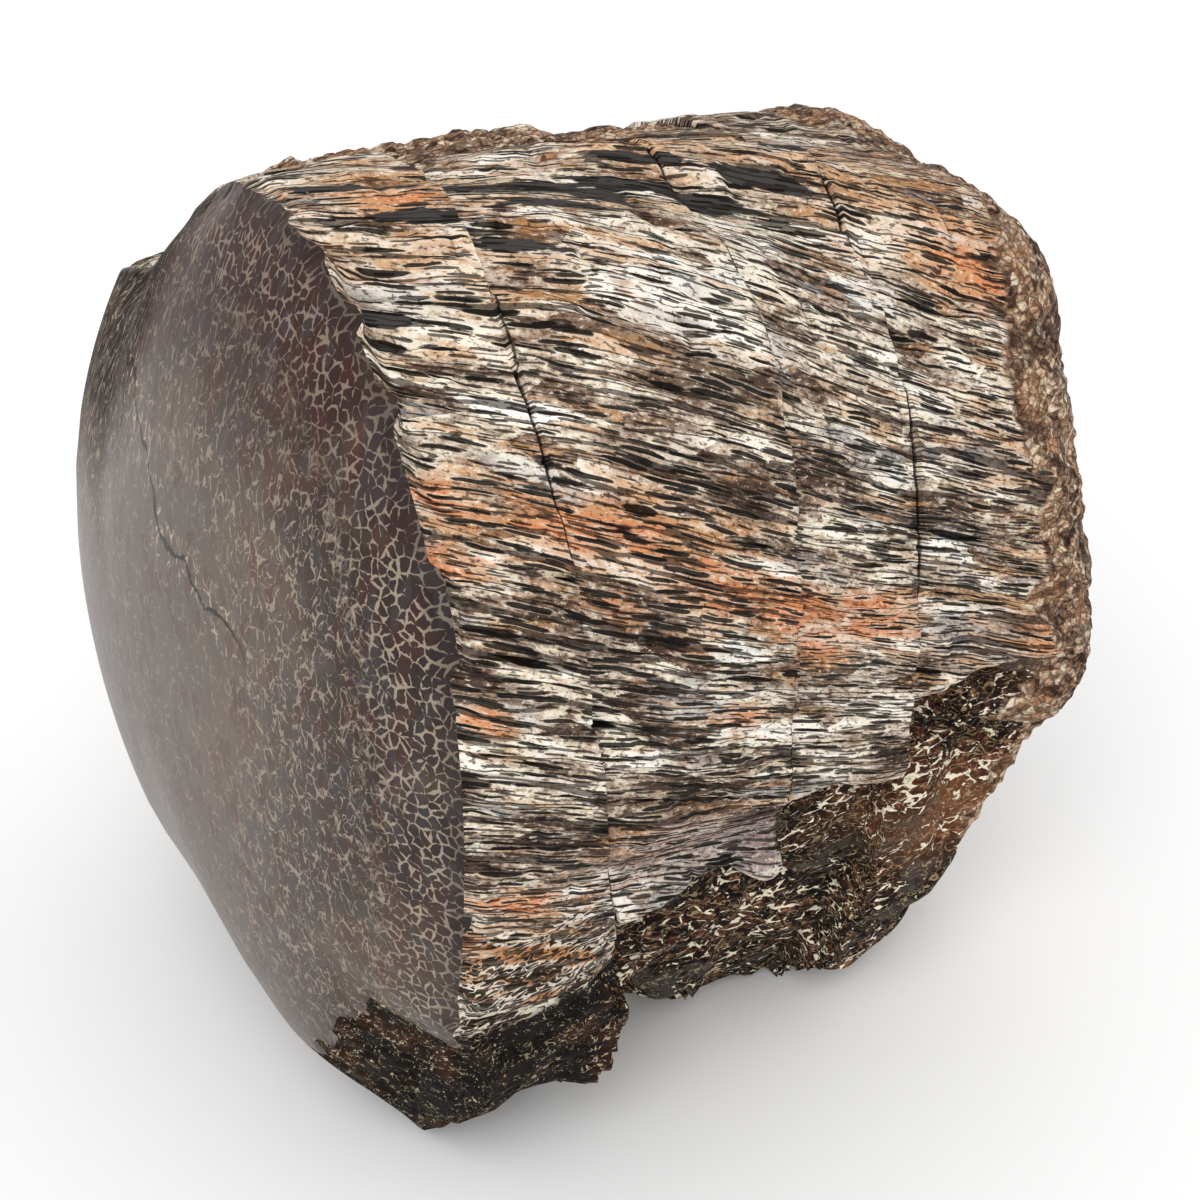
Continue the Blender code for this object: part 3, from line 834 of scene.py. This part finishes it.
def coordinates(tree, names):
    """Places on the piece in millimetres, and the named fields of its surface."""
    here = add(tree, "TexCoord").outputs["Object"]
    place = add(tree, "VectorMath", (here, (1.0 / MM,) * 3), operation="MULTIPLY")
    fields = {name: add(tree, "Attribute", attribute_name=name).outputs["Fac"] for name in names}
    return place, fields


def dressed(tree, shader, colour, height, bump, gloss):
    """Gives a shader its colour, its small relief and the strength of its gloss."""
    relief = add(tree, "Bump", {"Height": height, **bump})
    tree.links.new(colour, shader.inputs["Base Color"])
    tree.links.new(relief.outputs["Normal"], shader.inputs["Normal"])
    shader.inputs["Specular IOR Level"].default_value = gloss


# Finish: roughness, gloss and relief of the raw bone and of the polished face
FACE_FIELDS = ("rim", "crumble")
RAW_FIELDS = [name for name in FIELDS if name not in FACE_FIELDS]
RAW_ROUGHNESS, RAW_GLOSS = 0.82, 0.15
RAW_BUMP = {"Distance": 0.6 * MM, "Strength": 0.9}
FACE_ROUGHNESS, FACE_GLOSS = 0.34, 0.24
FACE_BUMP = {"Distance": 0.12 * MM, "Strength": 0.4}
PAPER_ROUGHNESS = 0.9

# A sway is the spacing of the noise that moves a pattern, and how far it moves it, in
# millimetres. A contour line runs where a noise is near its middle
BARK_SWAY = (9.0, 3.5, 1.0), (1.5, 1.6, 0.0)
FACE_SWAY = (1.5, 1.8, 1.0), (0.9, 1.1, 0.0)
NOISE_MIDDLE = 0.5

FLAT = {"voronoi_dimensions": "2D"}
BLUNT = {"voronoi_dimensions": "2D", "distance": "MINKOWSKI"}
FLAT_NET = {"voronoi_dimensions": "2D", "feature": "DISTANCE_TO_EDGE"}
NET = {"feature": "DISTANCE_TO_EDGE"}
LOOSE = {"Randomness": 1.0}
BLUNT_ENDS = {"Randomness": 1.0, "Exponent": 3.0}
# Textures of the raw bark: kind, size in millimetres along and across the fibres, inputs and
# settings
BARK_PATTERNS = {
    "patch": ("TexNoise", (10.0, 3.4, 1.0), {"Detail": 4.0, "Roughness": 0.6}, {}),
    "plate": ("TexVoronoi", (6.0, 1.9, 1.0), LOOSE, FLAT),
    "hue": ("TexNoise", (15.0, 6.0, 1.0), {"Detail": 3.0, "Roughness": 0.6}, {}),
    "tan": ("TexNoise", (9.0, 1.7, 1.0), {"Detail": 4.0, "Roughness": 0.65}, {}),
    "lump": ("TexNoise", (4.0, 1.3, 1.0), {"Detail": 3.0, "Roughness": 0.6}, {}),
    "streak": ("TexNoise", (2.4, 0.32, 1.0), {"Detail": 3.0, "Roughness": 0.65}, {}),
    "line": ("TexNoise", (20.0, 1.1, 1.0), {"Detail": 1.0}, {}),
    "density": ("TexNoise", (14.0, 8.0, 1.0), {"Detail": 2.0}, {}),
    "slit": ("TexVoronoi", (7.0, 0.66, 1.0), BLUNT_ENDS, BLUNT),
    "small_slit": ("TexVoronoi", (3.8, 0.38, 1.0), BLUNT_ENDS, BLUNT),
    "speck": ("TexNoise", (0.6, 0.3, 1.0), {"Detail": 2.0, "Roughness": 0.6}, {}),
}
# Textures of the spongy bone and of the granular crust, in millimetres along X, Y and Z
SPONGE_PATTERNS = {
    "net": ("TexVoronoi", (1.9, 0.8, 0.8), LOOSE, NET),
    "curl": ("TexNoise", (1.5, 0.6, 0.6), {"Detail": 1.0, "Distortion": 0.6}, {}),
    "broken": ("TexNoise", (2.6, 1.1, 1.1), {"Detail": 3.0, "Roughness": 0.7}, {}),
    "cloud": ("TexNoise", (10.0, 4.5, 4.5), {"Detail": 4.0, "Roughness": 0.65}, {}),
}
GRAIN_PATTERNS = {
    "grit": ("TexNoise", (0.9, 0.7, 0.7), {"Detail": 3.0, "Roughness": 0.7}, {}),
    "cloud": ("TexNoise", (6.0, 5.0, 5.0), {"Detail": 3.0, "Roughness": 0.6}, {}),
    "crumb": ("TexVoronoi", (0.9, 0.7, 0.7), LOOSE, {}),
    "gap": ("TexVoronoi", (0.9, 0.7, 0.7), LOOSE, NET),
    "curl": ("TexNoise", (0.9, 0.55, 0.55), {"Detail": 1.0, "Distortion": 0.8}, {}),
}


def bark_coat(tree, bark, grit, fields, colours):
    """Bark: plates from dark brown to ivory, tinted and stained, then split by slits, thin lines
    and seams. Gives its colour, its masks and its thin lines."""
    level = summed(tree, (
        (bark["patch"], 1.15), (bark["plate"].outputs["Color"], 0.42), (fields["tone"], 0.12),
        (fields["pale"], 0.07), (fields["dark"], -0.06), (bark["streak"], 0.32), (grit, 0.5),
        (1.0, -0.69)))
    plate = add(tree, "ValToRGB", (level,), stops=(
        (0.28, "#46342a"), (0.38, "#7a6453"), (0.46, "#a89585"), (0.53, "#cdbea8"),
        (0.6, "#e9dfcc"), (0.8, "#faf5ec")))
    slit_limit = summed(tree, (
        (bark["slit"].outputs["Color"], 0.2), (bark["density"], 0.16), (fields["dark"], 0.05),
        (fields["pale"], -0.03), (1.0, 0.03)))
    small_limit = summed(tree, (
        (bark["small_slit"].outputs["Color"], 0.2), (bark["density"], 0.2), (1.0, 0.02)))
    inside = add(tree, "Math", (slit_limit, bark["slit"]), operation="SUBTRACT")
    small_inside = add(tree, "Math", (small_limit, bark["small_slit"]), operation="SUBTRACT")
    line_width = summed(tree, ((fields["dark"], 0.02), (bark["density"], 0.05), (1.0, -0.005)))
    line = contour(tree, bark["line"], line_width)
    rust_edge = summed(tree, ((fields["rust"], 0.55), (bark["lump"], 0.6), (bark["tan"], 0.5)))
    lens_edge = summed(tree, ((fields["lens"], 0.6), (bark["lump"], 0.55), (bark["tan"], 0.4)))
    ledge_edge = summed(tree, ((fields["ledge"], 1.0), (bark["speck"], 0.8)))
    tan_edge = summed(tree, ((bark["tan"], 1.0), (fields["warm"], 0.12)))
    made = masks(tree, {
        "blue": (bark["hue"], 0.54, 0.64),
        "tan": (tan_edge, 0.54, 0.64),
        "brown": (bark["hue"], 0.46, 0.36),
        "slit": (inside, 0.0, 0.04),
        "small": (small_inside, 0.0, 0.04),
        "wide": (fields["slit"], 0.36, 0.44),
        "lip": (inside, -0.1, -0.01),
        "dot": (bark["speck"], 0.6, 0.66),
        "seam": (fields["seam"], 0.3, 0.75),
        "rust": (rust_edge, 0.8, 0.94),
        "core": (rust_edge, 1.0, 1.08),
        "lens": (lens_edge, 0.88, 0.92),
        "ledge": (ledge_edge, 0.95, 1.15),
        "speck": (bark["speck"], 0.44, 0.38),
    })
    tinted = painted(tree, plate.outputs["Color"], (
        (made["blue"], 0.45, "#b2b9bc"),
        (fields["warm"], 0.35, "#bd8c64"),
        (made["tan"], 0.6, "#c4905e"),
        (made["brown"], 0.4, "#86705e"),
        (fields["lilac"], 0.65, "#8f868a"),
        (made["rust"], 0.6, "#c98e60"),
        (made["core"], 0.75, colours.rust),
        (made["lip"], 0.3, "#f4e8d0"),
        (made["dot"], 0.5, "#f8efdc"),
        (made["speck"], 0.75, "#3c2e24"),
        (made["lens"], 1.0, "#3f3c39"),
        (line, 0.8, "#241a15"),
        (made["small"], 0.85, colours.slit),
        (made["slit"], 0.95, colours.slit),
        (made["wide"], 0.95, colours.slit),
        (made["seam"], 0.4, colours.slit),
        (made["ledge"], 0.85, colours.slit),
    ))
    return tinted, made, line


def sponge_coat(tree, spongy, grit, fields):
    """Open spongy bone: hollows with painted shade in them, near black to brown, short tan curls,
    and over them the broken cream net of the cell walls."""
    net_width = summed(tree, ((spongy["broken"], 1.0), (spongy["cloud"], 0.6), (1.0, -0.81)))
    net_inside = add(tree, "Math", (net_width, spongy["net"]), operation="SUBTRACT")
    curl_width = summed(tree, ((spongy["broken"], -0.2), (1.0, 0.112)))
    curl = contour(tree, spongy["curl"], curl_width)
    # Painted shade in the pores: this level sets the ground between the cell walls, near black
    # where it is low, through brown to tan where it is high
    hollow_shade = summed(tree, ((grit, 0.9), (spongy["cloud"], 0.7), (1.0, -0.34)))
    sponge_masks = masks(tree, {
        "net": (net_inside, 0.0, 0.05),
        "red": (spongy["cloud"], 0.54, 0.62),
        "grey": (spongy["cloud"], 0.46, 0.38),
        "green": (spongy["broken"], 0.5, 0.4),
    })
    sponge_ground = add(tree, "ValToRGB", (hollow_shade,), stops=(
        (0.4, "#080504"), (0.5, "#251812"), (0.6, "#64412e"), (0.7, "#b5835a")))
    net_colour = painted(tree, linear("#f2e8cc"), ((sponge_masks["green"], 1.0, "#98998a"),))
    return painted(tree, sponge_ground.outputs["Color"], (
        (fields["warm"], 0.5, "#a56c48"),
        (sponge_masks["red"], 0.5, "#4a2018"),
        (sponge_masks["grey"], 0.4, "#605a52"),
        (curl, 0.55, "#b9a27c"),
        (sponge_masks["net"], 0.95, net_colour),
    ))


def crust_coat(tree, grains, cloud):
    """Granular crust: grains of their own brown, from umber to cream, with dark gaps round them.
    Gives its colour and its gaps."""
    crust_level = summed(tree, (
        (grains["grit"], 0.8), (grains["cloud"], 0.6), (grains["crumb"].outputs["Color"], 0.35),
        (1.0, -0.32)))
    crust = add(tree, "ValToRGB", (crust_level,), stops=(
        (0.3, "#1f1510"), (0.4, "#4a3225"), (0.48, "#745846"), (0.56, "#967860"),
        (0.62, "#bb9574"), (0.7, "#e2d2b8")))
    gap = masks(tree, {"gap": (grains["gap"], 0.12, 0.03)})["gap"]
    crust_masks = masks(tree, {
        "tan": (grains["cloud"], 0.5, 0.6),
        "umber": (cloud, 0.55, 0.65),
        "grey": (cloud, 0.45, 0.36),
    })
    colour = painted(tree, crust.outputs["Color"], (
        (crust_masks["tan"], 0.4, "#b87f55"),
        (crust_masks["umber"], 0.7, "#3b251b"),
        (crust_masks["grey"], 0.35, "#8d8378"),
        (gap, 0.5, "#1c130f"),
    ))
    return colour, gap


def fleck_coat(tree, grains):
    """The chipped corner: near black, with brown patches and thin cream flecks."""
    fleck_width = summed(tree, ((grains["cloud"], 0.06), (grains["grit"], 0.3), (1.0, -0.178)))
    fleck = contour(tree, grains["curl"], fleck_width)
    brown = masks(tree, {"brown": (grains["cloud"], 0.48, 0.62)})["brown"]
    return painted(tree, linear("#17110e"), ((brown, 0.45, "#55321f"), (fleck, 0.6, "#d8c7a2")))


def foot_coat(tree, spongy, tan):
    """The worn foot of the slab: fat cream and tan curls on a dark ground."""
    blob_width = summed(tree, ((spongy["broken"], 0.3), (1.0, -0.105)))
    blob_colour = painted(tree, linear("#eae0cd"), ((tan, 1.0, "#c58a5a"),))
    blob = contour(tree, spongy["curl"], blob_width)
    return painted(tree, linear("#1d130e"), ((blob, 0.9, blob_colour),))


def weathered_bone(colours):
    """Weathered petrified bone: matt ivory, grey and tan plates stained with rust, split by dark
    slits along the fibres; dark spongy bone with a cream net; brown granular crust."""
    material, tree, shader = new_material("weathered_fossil_bone")
    place, fields = coordinates(tree, RAW_FIELDS)
    flow = add(tree, "Attribute", attribute_name="flow").outputs["Vector"]
    bark = patterns(tree, swayed(tree, flow, *BARK_SWAY), BARK_PATTERNS)
    spongy = patterns(tree, place, SPONGE_PATTERNS)
    grains = patterns(tree, place, GRAIN_PATTERNS)
    bark_colour, made, line = bark_coat(tree, bark, grains["grit"], fields, colours)
    crust_colour, gap = crust_coat(tree, grains, spongy["cloud"])

    foot_edge = summed(tree, ((fields["foot"], 1.0), (bark["lump"], 2.4), (1.0, -1.25)))
    crust_edge = summed(tree, ((fields["grain"], 1.0), (grains["cloud"], 1.2), (1.0, -0.6)))
    shares = masks(tree, {
        "sponge": (fields["sponge"], 0.35, 0.65),
        "fleck": (fields["fleck"], 0.35, 0.65),
        "grain": (crust_edge, 0.4, 0.65),
        "foot": (foot_edge, 0.4, 0.65),
    })
    colour = painted(tree, bark_colour, (
        (shares["foot"], 0.85, foot_coat(tree, spongy, made["tan"])),
        (shares["sponge"], 1.0, sponge_coat(tree, spongy, grains["grit"], fields)),
        (shares["fleck"], 1.0, fleck_coat(tree, grains)),
        (shares["grain"], 1.0, crust_colour),
    ))
    granular = multiplied(tree, gap, add(tree, "Math", (shares["fleck"], shares["grain"])))
    height = summed(tree, (
        (bark["patch"], 0.4), (bark["plate"].outputs["Color"], 0.2), (bark["streak"], 0.3),
        (made["slit"], -0.55), (made["small"], -0.4), (line, -0.15), (grains["grit"], 0.5),
        (granular, -0.3)))
    dressed(tree, shader, colour, height, RAW_BUMP, RAW_GLOSS)
    shader.inputs["Roughness"].default_value = RAW_ROUGHNESS
    return material


# Textures of the polished face, in millimetres across and up it: the cells grow longer inwards
FACE_PATTERNS = {
    "rim_net": ("TexVoronoi", (0.8, 0.95, 1.0), LOOSE, FLAT_NET),
    "rim_cell": ("TexVoronoi", (0.8, 0.95, 1.0), LOOSE, FLAT),
    "mid_net": ("TexVoronoi", (1.0, 2.1, 1.0), LOOSE, FLAT_NET),
    "mid_cell": ("TexVoronoi", (1.0, 2.1, 1.0), LOOSE, FLAT),
    "hook": ("TexNoise", (0.8, 1.7, 1.0), {"Detail": 1.0, "Distortion": 0.6}, {}),
    "slot": ("TexVoronoi", (0.7, 2.2, 1.0), BLUNT_ENDS, BLUNT),
    "far_net": ("TexVoronoi", (0.8, 1.2, 1.0), LOOSE, FLAT_NET),
    "broken": ("TexNoise", (1.1, 1.6, 1.0), {"Detail": 3.0, "Roughness": 0.7}, {}),
    "drift": ("TexNoise", (14.0, 18.0, 1.0), {"Detail": 3.0, "Roughness": 0.6}, {}),
    "grime": ("TexNoise", (0.5, 0.8, 1.0), {"Detail": 3.0, "Roughness": 0.7}, {}),
}


DEPTH_STRAY = 8.0                   # how raggedly the cells change with the way in from the rim

# A thin crack runs down the face near its middle, slanting across and down
CRACK_NORMAL = (0.49, -0.872, 0.0)
CRACK_PLACE = -58.6
CRACK_STRAY = 14.0
CRACK_FROM, CRACK_TO = (14.0, 11.0), (-23.0, -19.0)


def polished_bone(colours):
    """Petrified bone cut and polished to a satin: grey-brown chalcedony in open cells, with
    thin tan cell walls that show as a net near the rim and as broken hooks further in."""
    material, tree, shader = new_material("polished_fossil_bone")
    place, fields = coordinates(tree, FACE_FIELDS)
    parts = add(tree, "SeparateXYZ", (place,)).outputs
    flat = add(tree, "CombineXYZ", (parts["Y"], parts["Z"], 0.0))
    face = patterns(tree, swayed(tree, flat, *FACE_SWAY), FACE_PATTERNS)
    depth = summed(tree, (
        (fields["rim"], 1.0), (face["drift"], DEPTH_STRAY), (1.0, -0.5 * DEPTH_STRAY)))
    zones = masks(tree, {
        "mid": (depth, 4.0, 10.0),
        "far": (depth, 19.0, 26.0),
        "centre": (depth, 3.0, 26.0),
        "edge": (fields["rim"], 2.0, 0.5),
        "pale": (face["drift"], 0.5, 0.62),
        "top": (parts["Z"], 66.0, 78.0),
        "low": (parts["Z"], 30.0, 12.0),
    })
    rim_edge = summed(tree, ((face["broken"], 0.8), (1.0, -0.3), (face["rim_net"], -1.0)))
    mid_edge = summed(tree, ((face["broken"], 0.6), (1.0, -0.26), (face["mid_net"], -1.0)))
    hook_width = summed(tree, ((face["broken"], 0.1), (1.0, -0.036)))
    hook = contour(tree, face["hook"], hook_width)
    slot_edge = summed(tree, ((fields["crumble"], 0.5), (face["broken"], 0.4), (1.0, -0.33),
                              (face["slot"], -1.0)))
    far_edge = summed(tree, ((face["broken"], 0.9), (1.0, -0.41), (face["far_net"], -1.0)))
    walls = masks(tree, {
        "rim": (rim_edge, 0.0, 0.07),
        "mid": (mid_edge, 0.0, 0.06),
        "far": (far_edge, 0.0, 0.08),
        "red": (face["mid_cell"].outputs["Color"], 0.66, 0.74),
        "blue": (face["mid_cell"].outputs["Color"], 0.34, 0.28),
        "dark": (face["rim_cell"].outputs["Color"], 0.55, 0.3),
        "slot": (slot_edge, 0.0, 0.05),
    })
    hooked = add(tree, "Math", (walls["mid"], hook), operation="MAXIMUM")
    ground = painted(tree, colours.face_edge, (
        (walls["dark"], 0.5, "#150f0d"),
        (zones["top"], 0.8, "#2c0f0b"),
        (zones["centre"], 1.0, colours.face_centre),
        (zones["pale"], 0.25, "#74614f"),
        (walls["red"], 0.3, "#4a1c14"),
        (walls["blue"], 0.2, "#4a4a4e"),
    ))
    wall = painted(tree, multiplied(tree, walls["rim"], 0.75), (
        (zones["mid"], 1.0, multiplied(tree, hooked, 0.62)),
        (zones["far"], 1.0, multiplied(tree, walls["far"], 0.38)),
    ))
    wall = multiplied(tree, wall, summed(tree, (
        (zones["top"], -0.4), (zones["low"], -0.5), (1.0, 1.0))))
    down = add(tree, "VectorMath", (flat, CRACK_NORMAL), operation="DOT_PRODUCT").outputs["Value"]
    down = summed(tree, (
        (face["drift"], CRACK_STRAY), (down, 1.0), (1.0, -CRACK_PLACE - 0.5 * CRACK_STRAY)))
    apart = add(tree, "Math", (down,), operation="ABSOLUTE")
    crack = masks(tree, {
        "line": (summed(tree, ((apart, 1.0), (face["broken"], 1.0))), 0.85, 0.6),
        "band": (apart, 2.8, 0.5),
        "start": (parts["Y"], *CRACK_FROM),
        "end": (parts["Y"], *CRACK_TO),
    })
    span = multiplied(tree, crack["start"], crack["end"])
    colour = painted(tree, ground, (
        (wall, 1.0, colours.face_wall),
        (multiplied(tree, crack["band"], span, walls["mid"]), 0.7, "#b9ac96"),
        (multiplied(tree, crack["line"], span), 0.9, "#120c0a"),
        (zones["edge"], 0.5, "#1e1613"),
        (walls["slot"], 0.9, "#0c0806"),
    ))
    inside = add(tree, "Math", (1.0, zones["mid"]), operation="SUBTRACT")
    height = summed(tree, ((face["grime"], 0.25), (multiplied(tree, walls["rim"], inside), 1.0)))
    dressed(tree, shader, colour, height, FACE_BUMP, FACE_GLOSS)
    roughness = summed(tree, (
        (fields["crumble"], 0.5), (zones["top"], 0.1), (1.0, FACE_ROUGHNESS)))
    tree.links.new(roughness.outputs[0], shader.inputs["Roughness"])
    return material


def seamless_paper():
    """Plain white seamless paper: matt, so that only the soft contact shadow shows on it."""
    material, _, shader = new_material("white_seamless_paper")
    shader.inputs["Base Color"].default_value = linear("#f8f8f8")
    shader.inputs["Roughness"].default_value = PAPER_ROUGHNESS
    return material


class FossilSizes(bpy.types.PropertyGroup):
    """Sizes of the bone's surface."""
    columns: bpy.props.IntProperty(
        name="Columns", description="Points in each row about the shaft", default=560, min=60)
    dome_rise: bpy.props.FloatProperty(
        name="Dome rise", description="How far the polished end bulges past its rim",
        default=11.0 * MM, unit="LENGTH")
    fibre_turn: bpy.props.FloatProperty(
        name="Fibre turn", description="How much the fibres wind for each metre along the shaft",
        default=10.0, subtype="NONE")
    relief: bpy.props.FloatProperty(
        name="Relief", description="Strength of the fine relief on the raw surface",
        default=1.0, subtype="FACTOR", min=0.0, max=2.0)


class FossilColours(bpy.types.PropertyGroup):
    """Colours of the bone."""
    slit: bpy.props.FloatVectorProperty(
        name="Slits", description="The dark of the slits and cracks in the bark",
        default=linear("#0e0907"), size=4, subtype="COLOR")
    rust: bpy.props.FloatVectorProperty(
        name="Rust", description="Iron stains on the bark",
        default=linear("#d08355"), size=4, subtype="COLOR")
    face_edge: bpy.props.FloatVectorProperty(
        name="Face at the rim", description="Ground colour of the polished end near its rim",
        default=linear("#291b16"), size=4, subtype="COLOR")
    face_centre: bpy.props.FloatVectorProperty(
        name="Face in the middle", description="Ground colour of the polished end in its middle",
        default=linear("#5d534c"), size=4, subtype="COLOR")
    face_wall: bpy.props.FloatVectorProperty(
        name="Cell walls", description="Colour of the cell walls in the polished end",
        default=linear("#a29380"), size=4, subtype="COLOR")


class StageSettings(bpy.types.PropertyGroup):
    """Floor and light of the stage."""
    floor_width: bpy.props.FloatProperty(
        name="Floor width", description="Width of the paper that the bone lies on",
        default=6.0, unit="LENGTH")
    key_power: bpy.props.FloatProperty(
        name="Key light", description="Power of the large soft light", default=4.4, unit="POWER")
    sky_strength: bpy.props.FloatProperty(
        name="Surround", description="Strength of the even white surround", default=0.92)


class FOSSIL_OT_bone(bpy.types.Operator):
    """Builds the bone's surface and gives it its two finishes"""
    bl_idname = "fossil.bone"
    bl_label = "Bone surface"

    def execute(self, context):
        """One mesh of the whole surface, riding on the root in place of the solid."""
        sizes, colours = context.scene.fossil_sizes, context.scene.fossil_colours
        mesh = bone_mesh("fossil_bone_surface", sizes)
        if len(mesh.polygons) == 0:
            raise RuntimeError("the bone's surface came out empty")
        mesh.materials.append(polished_bone(colours))
        mesh.materials.append(weathered_bone(colours))
        piece = bpy.data.objects.new("fossil_bone_surface", mesh)
        context.scene.collection.objects.link(piece)
        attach(piece, "root")
        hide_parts(BONE)
        return {"FINISHED"}


class FOSSIL_OT_stage(bpy.types.Operator):
    """Lays out white paper, soft light and the camera"""
    bl_idname = "fossil.stage"
    bl_label = "Stage"

    def execute(self, context):
        """Paper under the bone, a large soft light above the camera's left, white all round."""
        scene = context.scene
        settings = scene.fossil_stage
        half = 0.5 * settings.floor_width
        corners = [(x * half, y * half, -PAPER_DROP)
                   for x, y in ((-1, -1), (1, -1), (1, 1), (-1, 1))]
        mesh = bpy.data.meshes.new("paper")
        mesh.from_pydata(corners, [], [(0, 1, 2, 3)])
        mesh.materials.append(seamless_paper())
        paper = bpy.data.objects.new("paper", mesh)
        scene.collection.objects.link(paper)

        world = bpy.data.worlds.new("white_surround")
        world.use_nodes = True
        surround = world.node_tree.nodes["Background"]
        surround.inputs["Color"].default_value = linear("#ffffff")
        surround.inputs["Strength"].default_value = settings.sky_strength
        scene.world = world
        scene.view_settings.view_transform = "Standard"

        light = bpy.data.lights.new("key", "AREA")
        light.energy = settings.key_power
        light.size = KEY_SIZE
        key = bpy.data.objects.new("key", light)
        key.location = KEY_PLACE
        key.rotation_euler = (CAMERA_AIM - KEY_PLACE).to_track_quat("-Z", "Y").to_euler()
        scene.collection.objects.link(key)

        lens = bpy.data.cameras.new("camera")
        lens.lens, lens.sensor_width = CAMERA_LENS, CAMERA_SENSOR
        camera = bpy.data.objects.new("camera", lens)
        camera.rotation_euler = Euler((0.5 * math.pi - CAMERA_TILT, 0.0, CAMERA_TURN))
        back = camera.rotation_euler.to_matrix() @ Vector((0.0, 0.0, 1.0))
        camera.location = CAMERA_AIM + CAMERA_DISTANCE * back
        scene.collection.objects.link(camera)
        scene.camera = camera
        return {"FINISHED"}


class FOSSIL_PT_panel(bpy.types.Panel):
    """Lists the sizes, the colours and the steps that build the fossil."""
    bl_idname = "FOSSIL_PT_panel"
    bl_label = "Fossil bone"
    bl_space_type = "VIEW_3D"
    bl_region_type = "UI"
    bl_category = "Fossil"

    def draw(self, context):
        """The properties of each group, then a button for each operator."""
        scene = context.scene
        for group in (getattr(scene, name) for name in GROUPS):
            for name in group.__annotations__:
                self.layout.prop(group, name)
        for operator in (FOSSIL_OT_bone, FOSSIL_OT_stage):
            self.layout.operator(operator.bl_idname)


GROUPS = {"fossil_sizes": FossilSizes, "fossil_colours": FossilColours,
          "fossil_stage": StageSettings}
CLASSES = (*GROUPS.values(), FOSSIL_OT_bone, FOSSIL_OT_stage, FOSSIL_PT_panel)


def register():
    """Registers the classes and adds the three groups to the scene."""
    for cls in CLASSES:
        bpy.utils.register_class(cls)
    for name, group in GROUPS.items():
        setattr(bpy.types.Scene, name, bpy.props.PointerProperty(type=group))


def unregister():
    """Takes the groups off the scene and unregisters the classes."""
    for name in GROUPS:
        delattr(bpy.types.Scene, name)
    for cls in reversed(CLASSES):
        bpy.utils.unregister_class(cls)


def main():
    """Builds the bone and its stage."""
    register()
    bpy.ops.fossil.bone()
    bpy.ops.fossil.stage()


if __name__ == "__main__":
    main()
